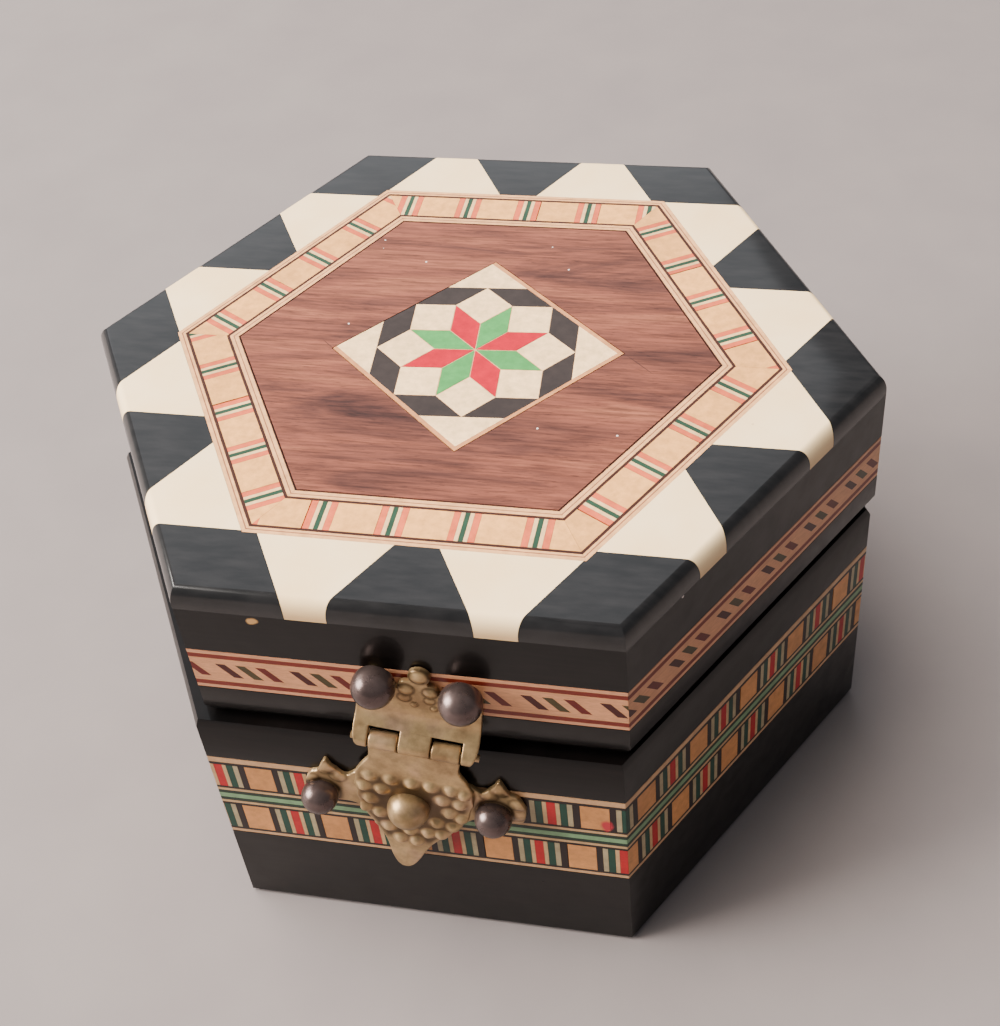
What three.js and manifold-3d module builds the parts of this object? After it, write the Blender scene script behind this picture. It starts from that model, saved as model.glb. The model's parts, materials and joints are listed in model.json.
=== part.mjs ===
// Hexagonal marquetry box with a hinged lid, closed by a brass hasp.
// Millimetres, +Z up. The origin is the centre of the body's underside, and the hasp looks to -Y.

import * as THREE from "three";
import { mergeVertices } from "three/addons/utils/BufferGeometryUtils.js";
import Module from "manifold-3d";

const wasm = await Module();
wasm.setup();

// Box
const bodySide = 45.6;           // side of the hexagonal body
const lidUndersize = 0.6;        // the lid's side is this much shorter
const lidSitsRight = 0.9;        // the lid sits off centre by this much
const bodyHeight = 32.9;         // underside to rim
const lidHeight = 19.2;          // lower edge of the lid to the marquetry top
const partingGap = 0.3;          // between the rim and the closed lid
const wallThickness = 5.0;
const bottomThickness = 3.5;
const lidBoardThickness = 3.0;
const seam = 0.1;                // glue line or working gap between two fixed pieces

// Arrises of the walls
const rimBevel = { inset: 0.4, height: 0.8 };
const lidEdgeBevel = { inset: 0.8, height: 1.5 };
const footBevel = { inset: 0.6, height: 0.6 };

// Inlaid strips in the walls
const stripDepth = 0.8;
const bodyStripWidth = 13.95;
const bodyStripBelowRim = 6.1;
const lidStripWidth = 5.8;
const lidStripAboveEdge = 4.7;

// Marquetry top, from its outer edge to its centre
const tileThickness = 2.6;
const tileEdge = { inset: 1.2, drop: 2.2, steps: 4 };
const wedgeDepth = 8.67;         // outer edge of the lid to the border band
const ivoryTip = 4.3;            // width of an ivory wedge at the lid's edge
const ebonyInner = 4.6;          // width of the middle ebony wedge at the border band
const cornerLandBefore = 0.25;   // corner ebony touching the band, before and after the corner
const cornerLandAfter = 1.6;
const borderWidth = 6.57;
const starSide = 23.3;
const starTurn = 48.6;           // degrees
const starCentre = { x: 0.35, y: 0.0 };

// Hasp, measured from its pin: across the lid face, outward and up
const haspTurn = 8;              // degrees, the top leans to the right
const haspRightOfLid = 0.7;
const haspPinAboveRim = 1.2;
const haspPinProud = 0.9;        // pin axis in front of the body's face
const haspBarrelRadius = 1.0;
const haspPinRadius = 0.4;
const pinClearance = 0.2;
const haspWidth = 13.4;
const plateThickness = 0.6;
const plateTop = 7.4;
const haspWindow = { inner: 1.65, outer: 4.9, above: 0.45, side: 0.15 };
const curlHeight = 2.8;          // where the plate starts to bend out to the pin
const crownLobes = [             // across, up, radius
  [-0.1, 9.7, 1.1], [-1.25, 7.8, 0.95], [1.05, 7.7, 0.85], [-0.1, 8.4, 0.9],
];
const crownBumps = 3;            // the first lobes carry a bump
const haspNail = { radius: 2.25, spacing: 8.8, height: 8.4, shank: 0.6, stand: 0.5 };
const flapThickness = 0.55;
const flapProud = 0.4;           // front of the flap in front of the pin's axis
const flapNeck = 1.2;            // where the flap begins below the pin
const flapProfile = [            // distance below the pin, half width
  [3.15, 4.8], [4.25, 5.45], [5.45, 6.0], [7.45, 6.3], [9.45, 6.15], [11.45, 5.75],
  [13.45, 4.9], [15.45, 3.6], [17.45, 2.55], [19.05, 2.0], [20.45, 1.6], [21.85, 1.0],
];
const flapLength = 22.4;
const dot = { radius: 0.8, height: 0.4 };
const flapDots = [               // across, distance below the pin
  [-4.75, 6.1], [-2.4, 6.1], [-0.15, 6.1], [1.85, 6.1], [4.05, 6.1], [5.45, 6.5],
  [-5.3, 8.1], [-3.35, 8.1], [3.15, 8.1], [5.05, 8.3], [-4.65, 10.2], [4.05, 10.2], [5.2, 11.0],
  [-3.6, 12.5], [2.75, 12.5], [4.4, 12.8], [-2.6, 14.8], [-0.15, 14.8], [1.85, 14.8], [-1.2, 16.7], [0.6, 16.7],
];
const button = { radius: 2.3, right: -0.35, below: 10.3, shank: 0.8, stand: 0.15 };

// Catch plate on the body, measured from its centre
const catchTurn = 1.8;           // degrees
const catchRight = 0.25;
const catchBelowRim = 9.3;
const catchThickness = 0.5;
const catchHalfOutline = [       // right half, from the top of the plate down
  [0, 4.3], [4.5, 4.3], [6.25, 4.0], [7.2, 3.25], [8.0, 3.7], [8.8, 4.7], [9.35, 5.5], [9.95, 4.6],
  [10.4, 3.5], [11.15, 3.1], [11.75, 2.2], [12.05, 1.0], [11.95, -0.4], [11.6, -1.25], [10.4, -1.3],
  [8.4, -1.4], [6.6, -1.7], [4.5, -3.2], [0, -3.6],
];
const catchNail = { radius: 2.0, spacing: 19.0, right: -0.85, shank: 0.5, stand: 0.4 };

// Butt hinge at the back
const hingeWidth = 21;
const hingeLeafHeight = 9.2;
const hingeLeafThickness = 0.6;
const hingeBarrelRadius = 1.1;
const hingePinRadius = 0.45;
const hingeKnuckleShare = 1 / 3; // middle knuckle, of the barrel's length
const knuckleGap = 0.15;
const hingeNailFromEnd = 4;
const hingeNail = {
  radius: 1.4, spacing: hingeWidth - 2 * hingeNailFromEnd, height: 7.2, shank: 0.45, stand: 0.1,
};
const nailCover = 1.2;           // wood left behind a nail's point
const headSides = 16;
const shankSides = 10;
const barrelSides = 14;

// Worked out from the sizes above
const degree = Math.PI / 180;
const sideTurn = 60 * degree;
const apothemOf = (side) => side * Math.sqrt(3) / 2;
const cornerOf = (apothem) => apothem * 2 / Math.sqrt(3);
const halfSideOf = (apothem) => apothem / Math.sqrt(3);
const lidSide = bodySide - lidUndersize;
const bodyApothem = apothemOf(bodySide);
const lidApothem = apothemOf(lidSide);
const lidSetBack = bodyApothem - lidApothem;        // flush at the back
const frontStep = bodyApothem - lidApothem + lidSetBack;
const lidBottom = bodyHeight + partingGap;
const lidTop = lidBottom + lidHeight;
const tileBottom = lidTop - tileThickness;
const bodyStripTop = bodyHeight - bodyStripBelowRim;
const bodyStripBottom = bodyStripTop - bodyStripWidth;
const lidStripBottom = lidBottom + lidStripAboveEdge;
const lidStripTop = lidStripBottom + lidStripWidth;
const borderApothem = lidApothem - wedgeDepth;
const fieldApothem = borderApothem - borderWidth;
const nailReach = wallThickness - nailCover;

const finishes = {
  blackLacquer: { color: 0x2d2626, roughness: 0.25, metalness: 0 },
  bareWood: { color: 0x3b2a22, roughness: 0.7, metalness: 0 },
  ivory: { color: 0xf0e2c8, roughness: 0.3, metalness: 0 },
  ebony: { color: 0x1c1b1d, roughness: 0.25, metalness: 0 },
  borderWood: { color: 0xe6bd92, roughness: 0.4, metalness: 0 },
  rosewood: { color: 0x9c6655, roughness: 0.4, metalness: 0 },
  starWood: { color: 0xebdcc8, roughness: 0.4, metalness: 0 },
  lidStripWood: { color: 0xcd9b7d, roughness: 0.35, metalness: 0 },
  bodyStripWood: { color: 0xc9a06c, roughness: 0.35, metalness: 0 },
  brass: { color: 0xaa8c5a, roughness: 0.4, metalness: 1 },
  gunmetal: { color: 0x5a5055, roughness: 0.35, metalness: 1 },
};

// Closed, welded mesh with its faces pointing out
function closedMesh(geometry) {
  const source = geometry.clone();
  for (const name of Object.keys(source.attributes)) {
    if (name !== "position") source.deleteAttribute(name);
  }
  const welded = mergeVertices(source, 1e-4);
  const position = welded.attributes.position;
  const kept = [];
  let volume = 0;
  const corners = [new THREE.Vector3(), new THREE.Vector3(), new THREE.Vector3()];
  for (let i = 0; i < welded.index.count; i += 3) {
    const [a, b, c] = [0, 1, 2].map((k) => welded.index.getX(i + k));
    if (a === b || b === c || c === a) continue;
    kept.push(a, b, c);
    [a, b, c].forEach((vertex, k) => corners[k].fromBufferAttribute(position, vertex));
    volume += corners[0].dot(corners[1].cross(corners[2]));
  }
  if (volume < 0) kept.reverse();
  welded.setIndex(kept);
  return welded;
}

function toManifold(geometry) {
  const mesh = closedMesh(geometry);
  return new wasm.Manifold(new wasm.Mesh({
    numProp: 3,
    vertProperties: new Float32Array(mesh.attributes.position.array),
    triVerts: new Uint32Array(mesh.index.array),
  }));
}

function fromManifold(solid) {
  const mesh = solid.getMesh();
  const geometry = new THREE.BufferGeometry();
  geometry.setAttribute("position", new THREE.BufferAttribute(mesh.vertProperties, 3));
  geometry.setIndex(new THREE.BufferAttribute(mesh.triVerts, 1));
  return geometry;
}

const joined = (parts) => fromManifold(parts.map(toManifold).reduce((sum, part) => sum.add(part)));
const common = (one, other) => fromManifold(toManifold(one).intersect(toManifold(other)));

function cut(whole, tools) {
  const start = toManifold(whole);
  return fromManifold(tools.map(toManifold).reduce((rest, tool) => rest.subtract(tool), start));
}

// Ring or disc with six sides, from a profile of distance to the side and height
function hexagonTurned(profile) {
  const points = profile.map(([apothem, height]) => new THREE.Vector2(cornerOf(apothem), height));
  return new THREE.LatheGeometry(points, 6, 30 * degree).rotateX(90 * degree);
}

function hexagonDisc(apothem, low, high) {
  return hexagonTurned([[0, low], [apothem, low], [apothem, high], [0, high]]);
}

function hexagonRing(inner, outer, low, high) {
  return hexagonTurned([[inner, low], [outer, low], [outer, high], [inner, high], [inner, low]]);
}

// Straight bar of a hexagonal frame, on the -Y side, mitred at both ends
function mitredBar(section) {
  const shape = new THREE.Shape(section.map(([apothem, height]) => new THREE.Vector2(apothem, height)));
  const bar = new THREE.ExtrudeGeometry(shape, { depth: 1, bevelEnabled: false });
  const position = bar.attributes.position;
  for (let i = 0; i < position.count; i++) {
    const [apothem, height, end] = [position.getX(i), position.getY(i), position.getZ(i)];
    const reach = halfSideOf(apothem) - seam / 2 / Math.cos(30 * degree);
    position.setXYZ(i, end > 0.5 ? reach : -reach, -apothem, height);
  }
  return bar;
}

const drawnOut = (shape, depth) => new THREE.ExtrudeGeometry(shape, {
  depth, bevelEnabled: false, curveSegments: 6,
});

// Flat piece on the front face: a shape across and up, between two distances outward
function onFront(shape, near, far) {
  return drawnOut(shape, far - near).rotateX(90 * degree).translate(0, -near, 0);
}

// Shape of outward distance and height, drawn out from one x to another
function alongX(shape, from, to) {
  const bar = drawnOut(shape, to - from);
  const outward = new THREE.Vector3(0, -1, 0);
  const up = new THREE.Vector3(0, 0, 1);
  const across = new THREE.Vector3(1, 0, 0);
  return bar.applyMatrix4(new THREE.Matrix4().makeBasis(outward, up, across)).translate(from, 0, 0);
}

function boxBetween(x0, x1, near, far, low, high) {
  const block = new THREE.BoxGeometry(x1 - x0, far - near, high - low);
  return block.translate((x0 + x1) / 2, -(near + far) / 2, (low + high) / 2);
}

function rodAlongX(radius, from, to) {
  const rod = new THREE.CylinderGeometry(radius, radius, to - from, barrelSides);
  return rod.rotateZ(90 * degree).translate((from + to) / 2, 0, 0);
}

function rodOutward(radius, near, far) {
  const rod = new THREE.CylinderGeometry(radius, radius, far - near, shankSides);
  return rod.translate(0, -(near + far) / 2, 0);
}

const discShape = (x, y, radius) => new THREE.Shape().absarc(x, y, radius, 0, 2 * Math.PI);
const splineShape = (points) => new THREE.Shape(
  new THREE.SplineCurve(points).getPoints(points.length * 2),
);

// Round-headed nail standing outward, its head's seat at zero
function domeNail({ radius, shank, stand }, reach) {
  const centre = radius * stand;
  const seatAngle = Math.asin(stand);
  const points = [[0, -reach], [shank, -reach], [shank, 0]];
  const steps = 6;
  for (let i = 0; i <= steps; i++) {
    const angle = -seatAngle + (90 * degree + seatAngle) * i / steps;
    points.push([i === steps ? 0 : radius * Math.cos(angle), centre + radius * Math.sin(angle)]);
  }
  const profile = points.map(([r, height]) => new THREE.Vector2(r, height));
  return new THREE.LatheGeometry(profile, headSides).rotateX(180 * degree);
}

// Low raised dot on a front face at the given outward distance
function raisedDot(x, height, outward) {
  const r = dot.radius;
  const profile = [[0, -dot.height], [r, -dot.height], [r, 0], [r * 0.72, dot.height * 0.7], [0, dot.height]];
  const dome = new THREE.LatheGeometry(profile.map(([a, b]) => new THREE.Vector2(a, b)), 8);
  return dome.rotateX(180 * degree).translate(x, -outward, height);
}

function piece(parent, name, geometry, finish) {
  const mesh = new THREE.Mesh(closedMesh(geometry), new THREE.MeshStandardMaterial(finishes[finish]));
  mesh.name = name;
  parent.add(mesh);
  return mesh;
}

const box = new THREE.Group();
const lid = new THREE.Group();
lid.position.set(lidSitsRight, lidSetBack, 0);
box.add(lid);

// Boards and mitred walls
const sideNames = ["front", "front_right", "back_right", "back", "back_left", "front_left"];
const bodyInner = bodyApothem - wallThickness;
const lidInner = lidApothem - wallThickness;
const groove = stripDepth + seam;

piece(box, "bottom_board", hexagonDisc(bodyInner - seam, 0, bottomThickness), "bareWood");
piece(lid, "lid_board", hexagonDisc(lidInner - seam, tileBottom - lidBoardThickness, tileBottom), "bareWood");

const bodyWall = mitredBar([
  [bodyInner, 0], [bodyApothem - footBevel.inset, 0], [bodyApothem, footBevel.height],
  [bodyApothem, bodyStripBottom - seam], [bodyApothem - groove, bodyStripBottom - seam],
  [bodyApothem - groove, bodyStripTop + seam], [bodyApothem, bodyStripTop + seam],
  [bodyApothem, bodyHeight - rimBevel.height], [bodyApothem - rimBevel.inset, bodyHeight],
  [bodyInner, bodyHeight],
]);
const lidWall = mitredBar([
  [lidInner, lidBottom], [lidApothem - lidEdgeBevel.inset, lidBottom],
  [lidApothem, lidBottom + lidEdgeBevel.height],
  [lidApothem, lidStripBottom - seam], [lidApothem - groove, lidStripBottom - seam],
  [lidApothem - groove, lidStripTop + seam], [lidApothem, lidStripTop + seam],
  [lidApothem, tileBottom], [lidInner, tileBottom],
]);
const walls = {};
sideNames.forEach((side, k) => {
  for (const [where, parent, bar] of [["body", box, bodyWall], ["lid", lid, lidWall]]) {
    const wall = piece(parent, `${where}_wall_${side}`, bar, "blackLacquer");
    wall.rotation.z = sideTurn * k;
    walls[`${where}_${side}`] = wall;
  }
});

// Inlaid strips let into the walls
const bodyStripRing = hexagonRing(bodyApothem - stripDepth, bodyApothem, bodyStripBottom, bodyStripTop);
const lidStripRing = hexagonRing(lidApothem - stripDepth, lidApothem, lidStripBottom, lidStripTop);
const bodyStrip = piece(box, "body_band", bodyStripRing, "bodyStripWood");
const lidStrip = piece(lid, "lid_band", lidStripRing, "lidStripWood");

// Blank of the marquetry top, with its rounded edge, from which every tile is taken
const blankEdge = [];
for (let i = 0; i <= tileEdge.steps; i++) {
  const angle = 90 * degree * (1 - i / tileEdge.steps);
  blankEdge.push([
    lidApothem - tileEdge.inset + tileEdge.inset * Math.sin(angle),
    lidTop - tileEdge.drop + tileEdge.drop * Math.cos(angle),
  ]);
}
const blankFoot = tileBottom + seam;
const topBlank = hexagonTurned([[0, blankFoot], [lidApothem, blankFoot], ...blankEdge, [0, lidTop]]);

// Outline moved inwards by half a glue line; the points run round it one way
function inset(points, amount) {
  const turned = Math.sign(THREE.ShapeUtils.area(points));
  return points.map((point, i) => {
    const before = points.at(i - 1);
    const after = points[(i + 1) % points.length];
    const into = point.clone().sub(before).normalize();
    const out = after.clone().sub(point).normalize();
    const normals = [into, out].map((along) => new THREE.Vector2(-along.y, along.x).multiplyScalar(turned));
    const middle = normals[0].clone().add(normals[1]).normalize();
    return point.clone().addScaledVector(middle, amount / middle.dot(normals[0]));
  });
}

// Tile of the top, cut from the blank by its outline in the plan
function tile(points, holes = []) {
  const shape = new THREE.Shape(inset(points, seam / 2));
  shape.holes = holes.map((hole) => new THREE.Path(inset(hole, -seam / 2)));
  const column = new THREE.ExtrudeGeometry(shape, { depth: lidTop - tileBottom + 2, bevelEnabled: false });
  return common(column.translate(0, 0, tileBottom - 1), topBlank);
}

// Wedges: two ivory ones on each side, an ebony one between them and one round each corner
const overrun = 1;
const outerLine = lidApothem + overrun;
const innerHalf = halfSideOf(borderApothem);
const ivoryBase = (2 * innerHalf - ebonyInner - cornerLandBefore - cornerLandAfter) / 2;
const slope = (ivoryBase - ivoryTip) / 2 / wedgeDepth;
const lean = slope * (outerLine - borderApothem);
const origin = new THREE.Vector2();
const onSide = (k, along, apothem) => new THREE.Vector2(along, -apothem).rotateAround(origin, sideTurn * k);
const firstBase = -innerHalf + cornerLandAfter;
const secondBase = firstBase + ivoryBase + ebonyInner;
for (let k = 0; k < sideNames.length; k++) {
  [firstBase, secondBase].forEach((start, n) => {
    const outline = [
      onSide(k, start, borderApothem), onSide(k, start + ivoryBase, borderApothem),
      onSide(k, start + ivoryBase - lean, outerLine), onSide(k, start + lean, outerLine),
    ];
    piece(lid, `ivory_wedge_${2 * k + n + 1}`, tile(outline), "ivory");
  });
  const middle = [
    onSide(k, firstBase + ivoryBase, borderApothem), onSide(k, secondBase, borderApothem),
    onSide(k, secondBase + lean, outerLine), onSide(k, firstBase + ivoryBase - lean, outerLine),
  ];
  const corner = [
    onSide(k, secondBase + ivoryBase, borderApothem), onSide(k, innerHalf, borderApothem),
    onSide(k + 1, firstBase, borderApothem), onSide(k + 1, firstBase + lean, outerLine),
    onSide(k, halfSideOf(outerLine), outerLine), onSide(k, secondBase + ivoryBase - lean, outerLine),
  ];
  piece(lid, `ebony_wedge_${2 * k + 1}`, tile(middle), "ebony");
  piece(lid, `ebony_wedge_${2 * k + 2}`, tile(corner), "ebony");
}

// Border band, rosewood field and the square star panel
const hexagonOutline = (apothem) => sideNames.map((_, k) => onSide(k, halfSideOf(apothem), apothem));
const starOutline = [0, 1, 2, 3].map((k) => new THREE.Vector2(starSide / 2, starSide / 2)
  .rotateAround(origin, (starTurn + k * 90) * degree)
  .add(new THREE.Vector2(starCentre.x, starCentre.y)));
piece(lid, "top_band", tile(hexagonOutline(borderApothem), [hexagonOutline(fieldApothem)]), "borderWood");
piece(lid, "centre_field", tile(hexagonOutline(fieldApothem), [starOutline]), "rosewood");
piece(lid, "star_panel", tile(starOutline), "starWood");

// Hasp on the lid, turned as a whole about its own centre
const hasp = new THREE.Group();
hasp.position.set(haspRightOfLid, -(bodyApothem + haspPinProud + lidSetBack), bodyHeight + haspPinAboveRim);
hasp.rotation.y = haspTurn * degree;
lid.add(hasp);

const plateBack = -(frontStep + haspPinProud) + seam;
const plateFront = plateBack + plateThickness;
const windowEdges = [-haspWindow.outer, -haspWindow.inner, haspWindow.inner, haspWindow.outer];
const pinBore = rodAlongX(haspPinRadius + pinClearance, -haspWidth, haspWidth);

// Side view of the plate: the sheet bends out from the wall to the knuckles round the pin
const curlEnd = new THREE.Vector2(haspBarrelRadius, 0).rotateAround(origin, 50 * degree);
const bend = new THREE.Vector2(plateFront, curlHeight);
const down = curlEnd.clone().sub(bend).normalize();
const inward = new THREE.Vector2(down.y, -down.x);
const curlInside = curlEnd.clone().addScaledVector(inward, plateThickness);
const bendInside = bend.clone().addScaledVector(inward, plateThickness);
bendInside.addScaledVector(down, (plateBack - bendInside.x) / down.x);
const curl = new THREE.Shape([bend, curlEnd, curlInside, bendInside]);

// Windows punched through the bent sheet and the barrel, just clear of the flap's knuckles
const windowTop = bend.clone().addScaledVector(down, -bend.dot(down) - haspBarrelRadius - haspWindow.above);
const opening = new THREE.Shape([[-1, 0], [3, 0], [3, 4], [-1, 4]].map(([into, along]) => windowTop.clone()
  .addScaledVector(inward, into * haspBarrelRadius).addScaledVector(down, along * haspBarrelRadius)));
const windows = [[windowEdges[0], windowEdges[1]], [windowEdges[2], windowEdges[3]]];
const earRadius = haspNail.radius * 0.9;
const ears = [-1, 1].map((side) => discShape(side * haspNail.spacing / 2, haspNail.height, earRadius));
const plateParts = [
  boxBetween(-haspWidth / 2, haspWidth / 2, plateBack, plateFront, bendInside.y, plateTop),
  alongX(curl, -haspWidth / 2, haspWidth / 2),
  rodAlongX(haspBarrelRadius, -haspWidth / 2, haspWidth / 2),
  ...crownLobes.map(([x, up, radius]) => onFront(discShape(x, up, radius), plateBack, plateFront)),
  ...ears.map((ear) => onFront(ear, plateBack, plateFront)),
  ...crownLobes.slice(0, crownBumps).map(([x, up]) => raisedDot(x, up, plateFront)),
];
const plateCuts = [pinBore, ...windows.map(([from, to]) => alongX(opening, from, to))];
const haspPlate = piece(hasp, "hasp_plate", cut(joined(plateParts), plateCuts), "brass");
piece(hasp, "hasp_pin", rodAlongX(haspPinRadius, -haspWidth / 2, haspWidth / 2), "brass");

// Flap: two knuckles, a plain neck, a border of raised dots and a plain tip
const flapFront = flapProud;
const flapBack = flapFront - flapThickness;
const flapRight = [[flapNeck, flapProfile[0][1]], ...flapProfile]
  .map(([below, half]) => new THREE.Vector2(half, -below));
const flapLeft = flapRight.map((point) => new THREE.Vector2(-point.x, point.y)).reverse();
const flapShape = splineShape([...flapRight, new THREE.Vector2(0, -flapLength), ...flapLeft]);
const flapKnuckles = windows.map(([from, to]) => [from + haspWindow.side, to - haspWindow.side]);

const flapBlank = joined([
  onFront(flapShape, flapBack, flapFront),
  ...flapKnuckles.flatMap(([from, to]) => [
    rodAlongX(haspBarrelRadius, from, to),
    boxBetween(from, to, flapBack, flapFront, -flapNeck - haspWindow.side, 0),
  ]),
  ...flapDots.map(([x, below]) => raisedDot(x, -below, flapFront)),
]);
const buttonHole = rodOutward(button.shank + seam, flapBack - 1, flapFront + 1)
  .translate(button.right, 0, -button.below);
piece(hasp, "hasp_flap", cut(flapBlank, [pinBore, buttonHole]), "brass");
const buttonMesh = piece(hasp, "hasp_button", domeNail(button, flapThickness), "brass");
buttonMesh.position.set(button.right, -(flapFront + seam), -button.below);

// Catch plate on the body
const catchFrame = new THREE.Group();
catchFrame.position.set(catchRight, -bodyApothem, bodyHeight - catchBelowRim);
catchFrame.rotation.y = catchTurn * degree;
box.add(catchFrame);
const catchRightHalf = catchHalfOutline.map(([x, up]) => new THREE.Vector2(x, up));
const catchLeftHalf = catchRightHalf.slice(1, -1)
  .map((point) => new THREE.Vector2(-point.x, point.y)).reverse();
const catchOutline = splineShape([...catchRightHalf, ...catchLeftHalf, catchRightHalf[0]]);
const catchFront = seam + catchThickness;
const catchPlate = piece(catchFrame, "catch_plate", onFront(catchOutline, seam, catchFront), "brass");

// Butt hinge at the back, turned to look to +Y; its upper leaf is on the lid
const hingePin = { y: bodyApothem + seam + hingeBarrelRadius, z: bodyHeight + partingGap / 2 };
const lowerFrame = new THREE.Group();
lowerFrame.position.set(0, hingePin.y, hingePin.z);
lowerFrame.rotation.z = Math.PI;
box.add(lowerFrame);
const upperFrame = lowerFrame.clone();
upperFrame.position.sub(lid.position);
lid.add(upperFrame);

const leafBack = -hingeBarrelRadius;
const leafFront = leafBack + hingeLeafThickness;
const knuckleHalf = hingeWidth * hingeKnuckleShare / 2;
const leafFoot = hingeBarrelRadius + knuckleGap;
const hingeBore = rodAlongX(hingePinRadius + pinClearance, -hingeWidth, hingeWidth);
function hingeLeaf(direction, knuckles) {
  const spans = [leafFoot * direction, hingeLeafHeight * direction].sort((a, b) => a - b);
  const roots = [0, (leafFoot + knuckleGap) * direction].sort((a, b) => a - b);
  const parts = knuckles.flatMap(([from, to]) => [
    rodAlongX(hingeBarrelRadius, from, to),
    boxBetween(from, to, leafBack, leafFront, roots[0], roots[1]),
  ]);
  const sheet = boxBetween(-hingeWidth / 2, hingeWidth / 2, leafBack, leafFront, spans[0], spans[1]);
  return cut(joined([sheet, ...parts]), [hingeBore]);
}
const outerKnuckles = [
  [-hingeWidth / 2, -knuckleHalf - knuckleGap], [knuckleHalf + knuckleGap, hingeWidth / 2],
];
const middleKnuckle = [[-knuckleHalf, knuckleHalf]];
const lowerLeaf = piece(lowerFrame, "hinge_lower_leaf", hingeLeaf(-1, outerKnuckles), "brass");
const upperLeaf = piece(upperFrame, "hinge_upper_leaf", hingeLeaf(1, middleKnuckle), "brass");
piece(lowerFrame, "hinge_pin", rodAlongX(hingePinRadius, -hingeWidth / 2, hingeWidth / 2), "brass");

// Nails, each driven through its plate into the wall behind
function nailPair(names, nail, frame, front, height, wallFace, drilled) {
  names.forEach((name, k) => {
    const along = (nail.right ?? 0) + (k - 0.5) * nail.spacing;
    const depth = front - wallFace + nailReach;
    const mesh = piece(frame, name, domeNail(nail, depth), "gunmetal");
    mesh.position.set(along, -(front + seam), height);
    box.updateMatrixWorld(true);
    for (const target of drilled) {
      const hole = rodOutward(nail.shank + seam, -depth - seam * 2, nail.radius);
      const intoTarget = target.matrixWorld.clone().invert().multiply(mesh.matrixWorld);
      target.geometry = closedMesh(cut(target.geometry, [hole.applyMatrix4(intoTarget)]));
    }
  });
}
nailPair(["hasp_nail_left", "hasp_nail_right"], haspNail, hasp, plateFront, haspNail.height,
  plateBack, [haspPlate, lidStrip, walls.lid_front]);
nailPair(["catch_nail_left", "catch_nail_right"], catchNail, catchFrame, catchFront, 0,
  0, [catchPlate, bodyStrip, walls.body_front]);
nailPair(["hinge_lower_nail_left", "hinge_lower_nail_right"], hingeNail, lowerFrame, leafFront,
  -hingeNail.height, leafBack, [lowerLeaf, bodyStrip, walls.body_back]);
nailPair(["hinge_upper_nail_left", "hinge_upper_nail_right"], hingeNail, upperFrame, leafFront,
  hingeNail.height, leafBack, [upperLeaf, lidStrip, walls.lid_back]);

export default box;
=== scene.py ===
"""Hexagonal marquetry box with a hinged lid, inlaid bands, a star on its top and a brass hasp.

Metres, +Z up. The origin is the centre of the underside, and the hasp looks to -Y.
"""

import cmath
import json
import math

import bmesh
import bpy
from mathutils import Matrix, Vector


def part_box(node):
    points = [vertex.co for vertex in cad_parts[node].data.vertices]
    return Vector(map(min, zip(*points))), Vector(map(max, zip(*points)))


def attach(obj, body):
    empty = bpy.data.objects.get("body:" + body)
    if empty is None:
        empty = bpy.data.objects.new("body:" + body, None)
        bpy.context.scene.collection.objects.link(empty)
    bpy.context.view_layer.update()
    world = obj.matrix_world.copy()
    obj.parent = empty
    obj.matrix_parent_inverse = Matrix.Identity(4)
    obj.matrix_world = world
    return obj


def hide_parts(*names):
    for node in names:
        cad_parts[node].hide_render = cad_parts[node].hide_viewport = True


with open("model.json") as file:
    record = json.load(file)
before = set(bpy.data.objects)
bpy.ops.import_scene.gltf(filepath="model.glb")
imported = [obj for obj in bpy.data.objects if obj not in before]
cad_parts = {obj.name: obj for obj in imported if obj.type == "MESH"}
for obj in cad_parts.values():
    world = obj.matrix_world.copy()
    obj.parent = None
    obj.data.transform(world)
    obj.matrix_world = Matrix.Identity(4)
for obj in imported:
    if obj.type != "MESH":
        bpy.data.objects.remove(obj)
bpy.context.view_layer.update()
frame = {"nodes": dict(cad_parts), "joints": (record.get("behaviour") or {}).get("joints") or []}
MM = 0.001

# Camera, floor and studio light
# A hand-held view from above the hasp side, on a plain pale sheet. A window on the left gives
# the bright glints and the shadow, a pale ceiling gives most of the light, and the room behind
# gives the sheen on the lacquered top.
PHOTO_HEIGHT = 1026
FOCAL_PIXELS = 1607.87
SENSOR = 36.0
CAMERA_PLACE = Vector((40.08, -133.85, 164.93)) * MM
CAMERA_RIGHT = Vector((0.97763, 0.19299, -0.08365))
CAMERA_FORWARD = Vector((-0.19519, 0.68424, -0.70265))

camera_data = bpy.data.cameras.new("camera")
camera_data.sensor_width = SENSOR
camera_data.sensor_fit = "VERTICAL"
camera_data.sensor_height = SENSOR
camera_data.lens = FOCAL_PIXELS * SENSOR / PHOTO_HEIGHT
camera_data.clip_start = 0.01
camera = bpy.data.objects.new("camera", camera_data)
bpy.context.scene.collection.objects.link(camera)
backward = -CAMERA_FORWARD.normalized()
upward = backward.cross(CAMERA_RIGHT).normalized()
sideways = upward.cross(backward)
turned = Matrix((sideways, upward, backward)).transposed().to_4x4()
camera.matrix_world = Matrix.Translation(CAMERA_PLACE) @ turned
bpy.context.scene.camera = camera


def adder(tree):
    """Function that adds a node to a tree, sets it and feeds its inputs."""
    def add(kind, feeds=None, **settings):
        node = tree.nodes.new(kind)
        for setting, value in settings.items():
            setattr(node, setting, value)
        for socket, value in (feeds or {}).items():
            if isinstance(value, bpy.types.NodeSocket):
                tree.links.new(value, node.inputs[socket])
            else:
                node.inputs[socket].default_value = value
        return node
    return add


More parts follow.
